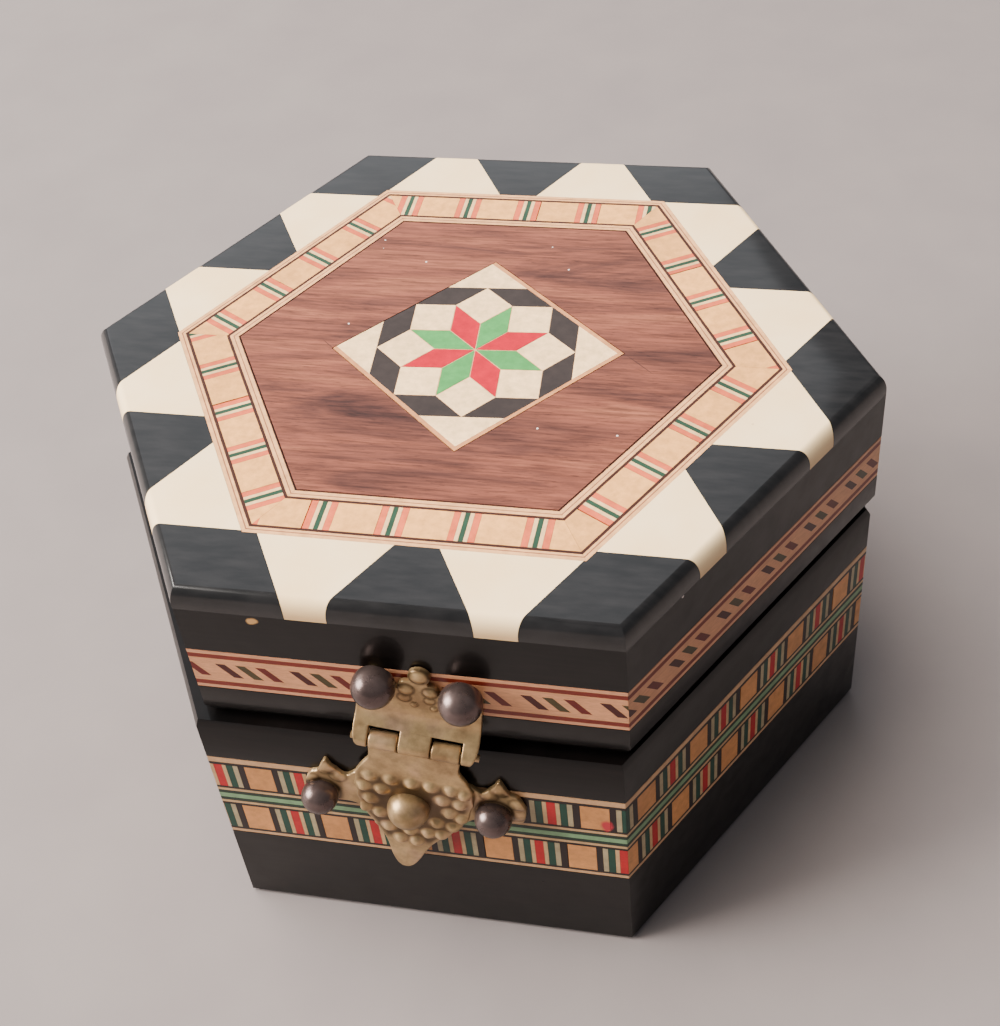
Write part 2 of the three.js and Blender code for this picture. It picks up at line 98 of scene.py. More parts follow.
def new_finish(name, roughness, metallic=0.0, coat=0.0, coat_roughness=0.08):
    """A material, the function that adds its nodes and one that feeds its shader."""
    finish = bpy.data.materials.new(name)
    finish.use_nodes = True
    tree = finish.node_tree
    shader = tree.nodes["Principled BSDF"]
    for socket, value in (
        ("Roughness", roughness), ("Metallic", metallic), ("Specular IOR Level", 0.2),
        ("Coat Weight", coat), ("Coat Roughness", coat_roughness),
    ):
        shader.inputs[socket].default_value = value

    def feed(socket, value):
        tree.links.new(value, shader.inputs[socket])

    return finish, adder(tree), feed


def colour(red, green, blue):
    """Linear colour with alpha, from the 0 to 255 values of a screen colour."""
    def linear(value):
        share = value / 255
        return share / 12.92 if share <= 0.04045 else ((share + 0.055) / 1.055) ** 2.4
    return (linear(red), linear(green), linear(blue), 1.0)


def ramp(add, factor, stops):
    """Colour ramp over a factor, from pairs of position and colour."""
    node = add("ShaderNodeValToRGB", {"Fac": factor})
    elements = node.color_ramp.elements
    while len(elements) < len(stops):
        elements.new(0.5)
    for element, (position, tint) in zip(elements, stops):
        element.position = position
        element.color = tint
    return node.outputs["Color"]


def place_texture(add, stretch=(1, 1, 1), turn=(0, 0, 0)):
    """Object coordinates, turned and stretched, for a texture on the piece."""
    place = add("ShaderNodeTexCoord").outputs["Object"]
    mapping = add("ShaderNodeMapping", {"Vector": place, "Scale": stretch, "Rotation": turn})
    return mapping.outputs["Vector"]


def noise(add, scale, detail=4.0, roughness=0.55, distortion=0.0, stretch=(1, 1, 1), turn=(0, 0, 0)):
    """Cloudy noise on the piece, turned and stretched with its grain."""
    node = add("ShaderNodeTexNoise", {
        "Vector": place_texture(add, stretch, turn), "Scale": scale, "Detail": detail,
        "Roughness": roughness, "Distortion": distortion,
    })
    return node.outputs["Fac"]


def new_object(name, mesh):
    made = bpy.data.objects.new(name, mesh)
    bpy.context.scene.collection.objects.link(made)
    return made


FLOOR_HALF = 1.2
floor_mesh = bpy.data.meshes.new("floor")
floor_corners = [(x * FLOOR_HALF, y * FLOOR_HALF, 0) for x, y in ((-1, -1), (1, -1), (1, 1), (-1, 1))]
floor_mesh.from_pydata(floor_corners, [], [(0, 1, 2, 3)])
floor = new_object("floor", floor_mesh)
floor_finish, add, feed = new_finish("pale floor", 0.6)
feed("Base Color", ramp(add, noise(add, 60), [(0.3, colour(126, 118, 118)), (0.7, colour(131, 123, 122))]))
floor_mesh.materials.append(floor_finish)

world = bpy.data.worlds.new("studio")
world.use_nodes = True
world.node_tree.nodes["Background"].inputs["Color"].default_value = (0.86, 0.88, 0.93, 1.0)
world.node_tree.nodes["Background"].inputs["Strength"].default_value = 0.28
bpy.context.scene.world = world

BOX_MIDDLE = Vector((0, 0, 30 * MM))


def soft_light(name, place, size, power, tint):
    """Large square light that looks at the middle of the box."""
    data = bpy.data.lights.new(name, "AREA")
    data.size = size
    data.energy = power
    data.color = tint
    light = bpy.data.objects.new(name, data)
    bpy.context.scene.collection.objects.link(light)
    light.location = place
    light.rotation_euler = (BOX_MIDDLE - light.location).to_track_quat("-Z", "Y").to_euler()
    return light


soft_light("window", (-0.8, -0.25, 0.45), 0.5, 24, (1.0, 0.95, 0.88))
ceiling = soft_light("ceiling", (-0.42, 0.0, 1.15), 0.8, 40, (1.0, 0.93, 0.84))
ceiling.visible_glossy = False
soft_light("room", (-0.35, 0.7, 0.75), 1.0, 3.4, (0.92, 0.96, 1.0))

# Bottom board and lid board
# Thin boards of dark stained wood let in between the walls. They are bare inside and
# have a long plain grain.
def bump(add, height, depth, distance=0.1 * MM):
    node = add("ShaderNodeBump", {"Height": height, "Strength": depth, "Distance": distance})
    return node.outputs["Normal"]


bare_wood, add, feed = new_finish("bare wood", 0.6)
fibres = noise(add, 90, 6, stretch=(1, 12, 12))
feed("Base Color", ramp(add, fibres, [(0.3, colour(52, 37, 30)), (0.7, colour(92, 66, 52))]))
feed("Normal", bump(add, fibres, 0.3))


def finish_node(name, finish):
    """Gives a CAD piece its finish."""
    mesh = frame["nodes"][name].data
    mesh.materials.clear()
    mesh.materials.append(finish)


for board in ("bottom_board", "lid_board"):
    finish_node(board, bare_wood)

# Walls
# Six mitred boards round the body and six round the lid, stained black and lacquered together,
# so that each frame shows one unbroken glossy skin. The rim of the body and the lower edge of
# the lid are bevelled. A chip on the front of the lid shows the bare wood.
WALL, SEAM, GROOVE = 5.0 * MM, 0.1 * MM, 0.9 * MM
FOOT_BEVEL, RIM_BEVEL, LID_EDGE_BEVEL = 0.6 * MM, (0.4 * MM, 0.8 * MM), (0.8 * MM, 1.5 * MM)
CHIP_PLACE, CHIP_REACH = (-13.1 * MM, -38.5 * MM, 49.45 * MM), (0.7 * MM, 3 * MM, 0.52 * MM)
SIDES = ("front", "front_right", "back_right", "back", "back_left", "front_left")

body_centre = Vector((0, 0, 0))
body_side, body_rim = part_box("body_wall_back")[1].yz
lid_low, lid_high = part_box("lid_wall_back")
lid_side = (lid_high.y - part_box("lid_wall_front")[0].y) / 2
lid_centre = Vector(((lid_low.x + lid_high.x) / 2, lid_high.y - lid_side, 0))
body_band_low, body_band_high = (corner.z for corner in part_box("body_band"))
lid_band_low, lid_band_high = (corner.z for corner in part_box("lid_band"))
lid_edge, tile_low = lid_low.z, lid_high.z
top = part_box("centre_field")[1].z


def side_axes(k):
    """Directions along side k of a hexagon and out of it."""
    angle = math.radians(60) * k
    across = Vector((math.cos(angle), math.sin(angle), 0))
    outward = Vector((math.sin(angle), -math.cos(angle), 0))
    return across, outward


def hexagon_point(centre, k, along, apothem, height):
    """Point on side k: its distance along the side, out from the centre, and its height."""
    across, outward = side_axes(k)
    return centre + across * along + outward * apothem + Vector((0, 0, height))


def mesh_from(name, bm, smooth_angle=None):
    """Plain mesh from a bmesh, smooth up to an angle and sharp past it."""
    bmesh.ops.remove_doubles(bm, verts=bm.verts, dist=1e-7)
    bmesh.ops.recalc_face_normals(bm, faces=bm.faces)
    if smooth_angle is not None:
        for face in bm.faces:
            face.smooth = True
        for edge in bm.edges:
            edge.smooth = len(edge.link_faces) == 2 and edge.calc_face_angle(0) < smooth_angle
    mesh = bpy.data.meshes.new(name)
    bm.to_mesh(mesh)
    bm.free()
    return mesh


def hexagon_frame(name, centre, profile):
    """Ring with six sides, from a closed profile of distance to the side and height."""
    bm = bmesh.new()
    rings = []
    for k in range(6):
        rings.append([
            bm.verts.new(hexagon_point(centre, k, apothem / math.sqrt(3), apothem, height))
            for apothem, height in profile
        ])
    for here, there in zip(rings, rings[1:] + rings[:1]):
        for i in range(len(profile)):
            j = (i + 1) % len(profile)
            bm.faces.new((here[i], there[i], there[j], here[j]))
    return new_object(name, mesh_from(name, bm, math.radians(35)))


def fit_piece(piece, finish, body, slot, *nodes):
    """Gives a finished piece its material and its body, and puts it in the place of CAD pieces."""
    piece.data.materials.clear()
    piece.data.materials.append(finish)
    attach(piece, body)
    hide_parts(*nodes)


def grooved(side, low, high):
    """Profile points of the groove that a band lies in."""
    foot, head, back = low - SEAM, high + SEAM, side - GROOVE
    return [(side, foot), (back, foot), (back, head), (side, head)]


def ranged(add, value, target, source=(0.0, 1.0)):
    """A value, taken from its source range to a target range."""
    node = add("ShaderNodeMapRange", {
        "Value": value, "From Min": source[0], "From Max": source[1],
        "To Min": target[0], "To Max": target[1],
    })
    return node.outputs["Result"]


def number_sum(add, operation, first, second):
    """Outcome of a sum on two numbers."""
    return add("ShaderNodeMath", {0: first, 1: second}, operation=operation).outputs[0]


def vector_sum(add, operation, vector, by):
    """Outcome of a sum on a vector and another one, or a number that scales it."""
    socket = "Scale" if operation == "SCALE" else 1
    return add("ShaderNodeVectorMath", {0: vector, socket: by}, operation=operation).outputs["Vector"]


def mixed(add, tone, tint, share):
    """A tone with a share of a tint over it."""
    return add("ShaderNodeMix", {6: tone, 7: tint, 0: share}, data_type="RGBA").outputs[2]


DUST, DUST_SIZE, RAGGEDNESS = colour(222, 206, 200), 0.045, 0.8 * MM


def dusted(add, tone, scale, share):
    """A tone with tiny pale specks of dust on some places of it."""
    cells = add("ShaderNodeTexVoronoi", {"Vector": place_texture(add), "Scale": scale})
    chosen = number_sum(add, "GREATER_THAN", cells.outputs["Color"], share)
    near = number_sum(add, "LESS_THAN", cells.outputs["Distance"], DUST_SIZE)
    return mixed(add, tone, DUST, number_sum(add, "MULTIPLY", chosen, near))


def oval_over(add, tone, offset, reach, tint, strength):
    """A tone with an oval of a tint over it, soft at its rim, where the offset is within reach."""
    flat = vector_sum(add, "DIVIDE", offset, reach)
    away = add("ShaderNodeVectorMath", {0: flat}, operation="LENGTH").outputs["Value"]
    return mixed(add, tone, tint, ranged(add, away, (strength, 0.0), (0.6, 1.0)))


def spotted(add, tone, centre, reach, tint):
    """A tone with one ragged spot of a tint round a place."""
    ragged = add("ShaderNodeTexNoise", {"Vector": place_texture(add), "Scale": 900, "Detail": 3})
    shift = vector_sum(add, "SCALE", ragged.outputs["Color"], RAGGEDNESS)
    place = vector_sum(add, "ADD", place_texture(add), shift)
    return oval_over(add, tone, vector_sum(add, "SUBTRACT", place, centre), reach, tint, 0.95)


black_lacquer, add, feed = new_finish("black lacquer", 0.4, coat=0.22, coat_roughness=0.06)
grain = noise(add, 160, 5, stretch=(1, 1, 14))
stain = ramp(add, grain, [(0.35, colour(5, 4, 4)), (0.75, colour(15, 11, 10))])
chipped = spotted(add, stain, CHIP_PLACE, CHIP_REACH, colour(196, 148, 92))
feed("Base Color", dusted(add, chipped, 260, 0.8))
feed("Normal", bump(add, noise(add, 130, 2), 0.35, 0.2 * MM))
feed("Roughness", ranged(add, noise(add, 420, 3), (0.22, 0.46)))

body_walls = hexagon_frame("body_walls", body_centre, [
    (body_side - WALL, 0), (body_side - FOOT_BEVEL, 0), (body_side, FOOT_BEVEL),
    *grooved(body_side, body_band_low, body_band_high),
    (body_side, body_rim - RIM_BEVEL[1]), (body_side - RIM_BEVEL[0], body_rim),
    (body_side - WALL, body_rim),
])
lid_walls = hexagon_frame("lid_walls", lid_centre, [
    (lid_side - WALL, lid_edge), (lid_side - LID_EDGE_BEVEL[0], lid_edge),
    (lid_side, lid_edge + LID_EDGE_BEVEL[1]),
    *grooved(lid_side, lid_band_low, lid_band_high),
    (lid_side, tile_low), (lid_side - WALL, tile_low),
])
for walls, body, part in ((body_walls, "box", "body"), (lid_walls, "lid", "lid")):
    fit_piece(walls, black_lacquer, body, "black_lacquer", *(f"{part}_wall_{side}" for side in SIDES))

# Ivory and ebony wedges
# Tapered blocks set round the top, pale ones and black dyed ones in turn. Their outer ends are
# sanded to one rounded arris with the lid and lacquered over.
EDGE_INSET, EDGE_DROP, EDGE_STEPS = 1.2 * MM, 2.2 * MM, 10
IVORY_TIP, EBONY_INNER = 4.3 * MM, 4.6 * MM
CORNER_BEFORE, CORNER_AFTER = 0.25 * MM, 1.6 * MM
# Depth below the top where the painted shade on the rounded arris begins.
SHADE_STARTS_BELOW = 0.5 * MM
HAIRLINE = 0.012 * MM

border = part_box("top_band")[1].y - lid_centre.y + SEAM / 2
inner_half = border / math.sqrt(3)
ivory_base = (2 * inner_half - EBONY_INNER - CORNER_BEFORE - CORNER_AFTER) / 2
ivory_slope = (ivory_base - IVORY_TIP) / 2 / (lid_side - border)
first_base = -inner_half + CORNER_AFTER
second_base = first_base + ivory_base + EBONY_INNER

top_profile = [(border + HAIRLINE, top)]
for step in range(EDGE_STEPS + 1):
    angle = math.radians(90) * step / EDGE_STEPS
    top_profile.append((
        lid_side - EDGE_INSET + EDGE_INSET * math.sin(angle),
        top - EDGE_DROP + EDGE_DROP * math.cos(angle),
    ))
top_profile.append((lid_side, tile_low + HAIRLINE))


def wedge(node, word, lines, finish, slot):
    """Block between lines over the top: each line is a side's number and its place for a distance."""
    bm = bmesh.new()
    upper, lower = [], []
    for k, along in lines:
        upper.append([bm.verts.new(hexagon_point(lid_centre, k, along(a), a, z)) for a, z in top_profile])
        lower.append([bm.verts.new(hexagon_point(lid_centre, k, along(a), a, tile_low + HAIRLINE))
                      for a, _ in top_profile[:-1]] + [upper[-1][-1]])
    steps = range(len(top_profile) - 1)
    for left, right in zip(range(len(lines)), range(1, len(lines))):
        for i in steps:
            bm.faces.new((upper[left][i], upper[right][i], upper[right][i + 1], upper[left][i + 1]))
            bm.faces.new((lower[left][i], lower[left][i + 1], lower[right][i + 1], lower[right][i]))
        bm.faces.new((upper[left][0], lower[left][0], lower[right][0], upper[right][0]))
    for end in (0, -1):
        for i in steps:
            corners = (upper[end][i], upper[end][i + 1], lower[end][i + 1], lower[end][i])
            bm.faces.new(list(dict.fromkeys(corners)))
    name = f"{word}_{node}"
    fit_piece(new_object(name, mesh_from(name, bm, math.radians(30))), finish, "lid", slot, node)


ivory, add, feed = new_finish("ivory inlay", 0.4, coat=0.3, coat_roughness=0.1)
cream_tone = ramp(add, noise(add, 140, 3), [(0.3, colour(247, 212, 160)), (0.7, colour(253, 224, 178))])
height = add("ShaderNodeSeparateXYZ", {"Vector": place_texture(add)}).outputs["Z"]
# The rounded arris is mixed towards a darker tan below the top: painted shade where it turns away from the
# light.
down = ranged(add, height, (0.75, 0.0), (top - EDGE_DROP, top - SHADE_STARTS_BELOW))
bevel_shaded_tone = mixed(add, cream_tone, colour(214, 172, 122), down)
specks = add("ShaderNodeTexVoronoi", {"Vector": place_texture(add), "Scale": 210}).outputs["Distance"]
feed("Base Color", mixed(add, bevel_shaded_tone, colour(196, 150, 116), ranged(add, specks, (0.6, 0.0), (0.02, 0.045))))
feed("Normal", bump(add, noise(add, 90, 2), 0.25))

ebony, add, feed = new_finish("ebony", 0.4, coat=0.75, coat_roughness=0.12)
pores = noise(add, 260, 5, stretch=(1, 4, 1))
feed("Base Color", ramp(add, pores, [(0.35, colour(15, 15, 16)), (0.75, colour(30, 29, 30))]))
feed("Normal", bump(add, noise(add, 110, 2), 0.25))


def leaning(base, lean, shift):
    """Place along a side for a distance from the centre: the base moves by the wedges' slope."""
    return lambda apothem: base + lean * (apothem - border) + shift


def mitre(apothem):
    return apothem / math.sqrt(3)


def ivory_edges(shift):
    """Left and right edges of a side's two ivory wedges, each moved by a shift along the side."""
    lefts = [leaning(base, ivory_slope, shift) for base in (first_base, second_base)]
    rights = [leaning(base + ivory_base, -ivory_slope, shift) for base in (first_base, second_base)]
    return lefts, rights


ivory_left, ebony_left = ivory_edges(HAIRLINE)
ebony_right, ivory_right = ivory_edges(-HAIRLINE)
for k in range(6):
    ivory_lines = [[(k, ivory_left[n]), (k, ivory_right[n])] for n in (0, 1)]
    ebony_lines = [
        [(k, ebony_left[0]), (k, ebony_right[1])],
        [(k, ebony_left[1]), (k, mitre), (k + 1, ebony_right[0])],
    ]
    for n in (0, 1):
        wedge(f"ivory_wedge_{2 * k + n + 1}", "pale", ivory_lines[n], ivory, "ivory")
    for n in (0, 1):
        wedge(f"ebony_wedge_{2 * k + n + 1}", "black", ebony_lines[n], ebony, "ebony")

# Border band of the top
# Sawn strips of glued veneers: maple blocks with a green line between cream and salmon ones,
# laid along each side between dark and pale lines, and mitred at the corners.
ROW_INPUTS = (
    ("Block", "NodeSocketObject"), ("Count", "NodeSocketInt"), ("Pitch", "NodeSocketFloat"),
    ("Start", "NodeSocketFloat"), ("Spread", "NodeSocketFloat"), ("Seed", "NodeSocketInt"),
    ("Finish", "NodeSocketMaterial"),
)


def build_row_tree():
    """Geometry Nodes tree that lays copies of one block along X, each with a tone of its own."""
    tree = bpy.data.node_groups.new("row of blocks", "GeometryNodeTree")
    for label, kind in ROW_INPUTS:
        tree.interface.new_socket(label, in_out="INPUT", socket_type=kind)
    tree.interface.new_socket("Geometry", in_out="OUTPUT", socket_type="NodeSocketGeometry")
    add = adder(tree)
    given = add("NodeGroupInput").outputs
    start = add("ShaderNodeCombineXYZ", {"X": given["Start"]}).outputs[0]
    step = add("ShaderNodeCombineXYZ", {"X": given["Pitch"]}).outputs[0]
    line = add("GeometryNodeMeshLine", {"Count": given["Count"], "Start Location": start, "Offset": step})
    chance = add("FunctionNodeRandomValue", {2: -1.0, "Seed": given["Seed"]}).outputs[1]
    shift = add("ShaderNodeCombineXYZ", {"X": number_sum(add, "MULTIPLY", chance, given["Spread"])})
    points = add("GeometryNodeSetPosition", {"Geometry": line.outputs[0], "Offset": shift.outputs[0]})
    tone = add("FunctionNodeRandomValue", {"Seed": given["Seed"]}).outputs[1]
    toned = add("GeometryNodeStoreNamedAttribute", {
        "Geometry": points.outputs[0], "Name": "tone", "Value": tone,
    })
    block = add("GeometryNodeObjectInfo", {"Object": given["Block"]}).outputs["Geometry"]
    copies = add("GeometryNodeInstanceOnPoints", {"Points": toned.outputs[0], "Instance": block})
    real = add("GeometryNodeRealizeInstances", {"Geometry": copies.outputs[0]})
    coated = add("GeometryNodeSetMaterial", {"Geometry": real.outputs[0], "Material": given["Finish"]})
    add("NodeGroupOutput", {"Geometry": coated.outputs[0]})
    return tree


row_tree = build_row_tree()
row_sockets = {item.name: item.identifier for item in row_tree.interface.items_tree if item.in_out == "INPUT"}


def laid_row(*values):
    """Plain mesh of a row of units along X, from the tree's inputs in their order."""
    carrier = new_object("row", bpy.data.meshes.new("row"))
    modifier = carrier.modifiers.new("row", "NODES")
    modifier.node_group = row_tree
    for (label, _), value in zip(ROW_INPUTS, values):
        modifier[row_sockets[label]] = value
    evaluated = carrier.evaluated_get(bpy.context.evaluated_depsgraph_get())
    mesh = bpy.data.meshes.new_from_object(evaluated)
    carrier.modifiers.remove(modifier)
    bpy.data.objects.remove(carrier)
    return mesh


def tinted_block(bm, wood, low_corners, high_corners, tint):
    """Closed block from corners below and the same ones above, in one colour. Returns its corners."""
    lower = [bm.verts.new(corner) for corner in low_corners]
    upper = [bm.verts.new(corner) for corner in high_corners]
    faces = [bm.faces.new(upper), bm.faces.new(lower[::-1])]
    for i in range(len(lower)):
        j = (i + 1) % len(lower)
        faces.append(bm.faces.new((lower[i], lower[j], upper[j], upper[i])))
    for face in faces:
        for loop in face.loops:
            loop[wood] = tint
    return lower + upper


def unit_of(name, outlines, depth):
    """Object with blocks on flat outlines, each in its tint and sunk below Z = 0."""
    bm = bmesh.new()
    wood = bm.loops.layers.float_color.new("wood")
    for outline, tint in outlines:
        tinted_block(bm, wood, [(x, y, -depth) for x, y in outline], [(x, y, 0) for x, y in outline], tint)
    mesh = bpy.data.meshes.new(name)
    bm.to_mesh(mesh)
    bm.free()
    return new_object(name, mesh)


def striped_unit(name, stripes, reach, depth):
    """Object with stripes side by side along X, each reaching across Y."""
    outlines = []
    near = 0.0
    for width, tint in stripes:
        left, right = near + HAIRLINE, near + width - HAIRLINE
        outlines.append((((left, 0), (right, 0), (right, reach), (left, reach)), tint))
        near += width
    return unit_of(name, outlines, depth)


def cut_at_mitres(bm, centre, k):
    """Cuts away what passes the mitres at both ends of side k, and closes the cuts."""
    across, outward = side_axes(k)
    for end in (1, -1):
        normal = across * end * math.cos(math.radians(30)) - outward * math.sin(math.radians(30))
        cut = bmesh.ops.bisect_plane(
            bm, geom=bm.verts[:] + bm.edges[:] + bm.faces[:], plane_co=centre - normal * HAIRLINE,
            plane_no=normal, clear_outer=True, dist=1e-9,
        )
        rims = [e for e in cut["geom_cut"] if isinstance(e, bmesh.types.BMEdge) and len(e.link_faces) == 1]
        bmesh.ops.holes_fill(bm, edges=rims, sides=8)


UP = Vector((0, 0, 1))


class Inlay:
    """A band in the making: bars and rows of blocks, gathered in one mesh."""

    def __init__(self, centre):
        self.centre = centre
        self.bm = bmesh.new()
        self.wood = self.bm.loops.layers.float_color.new("wood")
        self.tone = self.bm.verts.layers.float.new("tone")

    def block(self, lows, highs, tint, tone=0.5):
        """Closed block in one colour and tone."""
        for corner in tinted_block(self.bm, self.wood, lows, highs, tint):
            corner[self.tone] = tone

    def bar(self, k, inner, outer, low, high, tint):
        """Plain bar along side k, mitred at both ends."""
        lows, highs = ([
            hexagon_point(self.centre, k, end * (apothem / math.sqrt(3) - HAIRLINE), apothem, height)
            for apothem, end in ((inner, -1), (inner, 1), (outer, 1), (outer, -1))
        ] for height in (low, high))
        self.block(lows, highs, tint)

    def row(self, k, out, up, flat, *values):
        """Row on side k at a distance and a height, flat on the top or else upright on a wall."""
        mesh = laid_row(*values)
        across, outward = side_axes(k)
        columns = (across, outward, UP) if flat else (across, UP, outward)
        place = self.centre + outward * out + UP * up
        mesh.transform(Matrix.Translation(place) @ Matrix(columns).transposed().to_4x4())
        part = bmesh.new()
        part.from_mesh(mesh)
        cut_at_mitres(part, self.centre, k)
        bmesh.ops.recalc_face_normals(part, faces=part.faces)
        part.to_mesh(mesh)
        part.free()
        self.bm.from_mesh(mesh)
        bpy.data.meshes.remove(mesh)

    def finished(self, name, finish, node, body, slot):
        fit_piece(new_object(name, mesh_from(name, self.bm)), finish, body, slot, node)


def veneer_finish(name, streaks, spot=None):
    """Lacquered veneers: each block's own wood, its tone and fine streaks of grain."""
    finish, add, feed = new_finish(name, 0.45, coat=0.3, coat_roughness=0.1)
    wood = add("ShaderNodeAttribute", attribute_name="wood").outputs["Color"]
    tone = add("ShaderNodeAttribute", attribute_name="tone").outputs["Fac"]
    grain = noise(add, 900, 5, 0.65, stretch=streaks)
    share = ranged(add, tone, (0.9, 1.08))
    for layer, target in ((grain, (0.78, 1.12)), (noise(add, 260, 3), (0.93, 1.05))):
        share = number_sum(add, "MULTIPLY", share, ranged(add, layer, target, (0.3, 0.7)))
    toned_wood = vector_sum(add, "SCALE", wood, share)
    feed("Base Color", spotted(add, toned_wood, *spot) if spot else toned_wood)
    feed("Normal", bump(add, grain, 0.12))
    return finish


MAPLE, SALMON, CREAM = colour(228, 164, 96), colour(206, 96, 62), colour(222, 182, 130)
LEAF_GREEN, DARK_LINE, PALE_LINE = colour(38, 66, 50), colour(58, 30, 22), colour(222, 164, 112)
GLUE_LINE = colour(150, 96, 70)
TILE_DEPTH = 2.4 * MM
BORDER_PITCH, BLOCK_REACH = 7.45 * MM, 3.98
BORDER_GROUPS, BORDER_SPREAD, BORDER_SEED = 8, 0.1 * MM, 11
BORDER_STRIPES = (
    (0.72 * MM, SALMON), (0.45 * MM, CREAM), (0.5 * MM, LEAF_GREEN), (0.45 * MM, CREAM), (0.72 * MM, SALMON),
)
BORDER_LINES = (
    (0.42, PALE_LINE), (0.12, GLUE_LINE), (0.3, PALE_LINE), (0.34, DARK_LINE), (BLOCK_REACH, None),
    (0.34, DARK_LINE), (0.38, PALE_LINE), (0.1, GLUE_LINE), (0.42, PALE_LINE), (0.12, DARK_LINE),
)
GREEN_PLACES = (-10.2, -11.05, -10.0, -8.6, -9.6, -9.05)

group_width = sum(width for width, _ in BORDER_STRIPES)
border_finish = veneer_finish("border veneers", (1, 1, 1))
border_inlay = Inlay(lid_centre)
maple = (BORDER_PITCH - group_width, MAPLE)
border_unit = striped_unit("border_unit", (*BORDER_STRIPES, maple), BLOCK_REACH * MM, TILE_DEPTH)
for k in range(6):
    outer = border - HAIRLINE
    for width, tint in BORDER_LINES:
        inner = outer - width * MM
        if tint is not None:
            border_inlay.bar(k, inner + HAIRLINE, outer, top - TILE_DEPTH, top, tint)
        else:
            first = GREEN_PLACES[k] * MM - group_width / 2 - 2 * BORDER_PITCH
            border_inlay.row(k, inner, top, True, border_unit, BORDER_GROUPS, BORDER_PITCH, first,
                             BORDER_SPREAD, BORDER_SEED + k, border_finish)
        outer = inner
bpy.data.objects.remove(border_unit)
border_inlay.finished("border_band", border_finish, "top_band", "lid", "border_wood")

# Rosewood field
# One leaf of red-brown figured veneer with dark streaks, cut out for the star panel. The knife
# ran past the square at its left and right corners.
PANEL_SIDE, PANEL_TURN = 23.3 * MM, math.radians(48.6)
PANEL_SHIFT = Vector((0.35 * MM, 0, 0))
panel_centre = lid_centre + PANEL_SHIFT
panel_half = PANEL_SIDE / 2 - SEAM / 2
KNIFE_LINE = 0.07 * MM
KNIFE_MARKS = ((-panel_half, panel_half + 1.0 * MM, 1.2 * MM), (panel_half, -panel_half - 2.6 * MM, 2.6 * MM))


def knife_marked(add, tone):
    """A tone with the thin dark lines that the knife left past two corners of the panel."""
    offset = vector_sum(add, "SUBTRACT", place_texture(add), (panel_centre.x, panel_centre.y, 0))
    turned = add("ShaderNodeMapping", {"Vector": offset, "Rotation": (0, 0, -PANEL_TURN)}).outputs["Vector"]
    for across, along, reach in KNIFE_MARKS:
        apart = vector_sum(add, "SUBTRACT", turned, (across, along, 0))
        tone = oval_over(add, tone, apart, (KNIFE_LINE, reach, 1.0), colour(44, 26, 24), 0.75)
    return tone


rosewood, add, feed = new_finish("rosewood", 0.45, coat=0.3, coat_roughness=0.12)
GRAIN_TURN = (0, 0, math.radians(-9))
bands = noise(add, 34, 5, 0.6, 0.7, (1, 5.5, 1), GRAIN_TURN)
fibres = noise(add, 150, 6, 0.7, stretch=(1, 16, 1), turn=GRAIN_TURN)
pores = noise(add, 640, 2, stretch=(1, 11, 1), turn=GRAIN_TURN)
base = ramp(add, bands, [
    (0.3, colour(50, 29, 27)), (0.42, colour(90, 52, 43)),
    (0.55, colour(124, 71, 55)), (0.75, colour(154, 94, 70)),
])
fibre_share = ranged(add, fibres, (0.46, 1.12), (0.34, 0.6))
dark = number_sum(add, "MULTIPLY", fibre_share, ranged(add, pores, (0.55, 1.0), (0.3, 0.4)))
wood_tone = vector_sum(add, "SCALE", base, dark)
feed("Base Color", dusted(add, knife_marked(add, wood_tone), 310, 0.1))
feed("Normal", bump(add, fibres, 0.2))
finish_node("centre_field", rosewood)

# Star panel
# Rhombi, squares and black lozenges of dyed wood, sawn from a glued rod of the pattern, with a
# line of orange-brown glue and veneer along three of its edges.
PANEL_LINE = 0.5 * MM
GLUE_GAP, BED_BELOW = 0.06 * MM, 0.03 * MM
TONE_LOW, TONE_SPREAD = 0.42, 0.16
STAR_RED, STAR_GREEN = colour(184, 2, 36), colour(72, 146, 76)
STAR_WHITE, STAR_BLACK = colour(248, 208, 156), colour(48, 40, 38)
PANEL_GLUE, PANEL_EDGE = colour(206, 158, 118), colour(196, 134, 88)


def panel_point(x, y):
    """Point of the panel, with X and Y along its own edges."""
    turned = Matrix.Rotation(PANEL_TURN, 3, "Z") @ Vector((x, y, 0))
    return Vector((panel_centre.x + turned.x, panel_centre.y + turned.y, 0))


def shrunk(outline, gap):
    """Convex outline moved inwards by a gap, corner by corner."""
    middle = sum(outline, Vector((0, 0, 0))) / len(outline)
    moved_in = []
    count = len(outline)
    for i, point in enumerate(outline):
        before = (point - outline[i - 1]).normalized()
        after = (outline[(i + 1) % count] - point).normalized()
        normals = [Vector((-d.y, d.x, 0)) for d in (before, after)]
        normals = [n if n.dot(middle - point) > 0 else -n for n in normals]
        bisector = (normals[0] + normals[1]).normalized()
        moved_in.append(point + bisector * (gap / max(bisector.dot(normals[0]), 0.2)))
    return moved_in


# The three lines leave a slightly oblong place, which the pattern fills.
tiles_across = panel_half - PANEL_LINE
tiles_along = panel_half - PANEL_LINE / 2
HALF_STEP = 22.5
arm_reach = 1 / (1 + math.sqrt(2))
tip_reach = 2 * math.cos(math.radians(HALF_STEP)) * arm_reach
lozenge_reach = 1 / math.cos(math.radians(HALF_STEP))


def pattern_point(reach, degrees):
    """Point of the star pattern, whose square is one unit from its centre to its sides."""
    angle = math.radians(degrees)
    x, y = reach * math.cos(angle), reach * math.sin(angle)
    return panel_point(x * tiles_across, y * tiles_along + PANEL_LINE / 2)


star = Inlay(lid_centre)
star_low = top - TILE_DEPTH


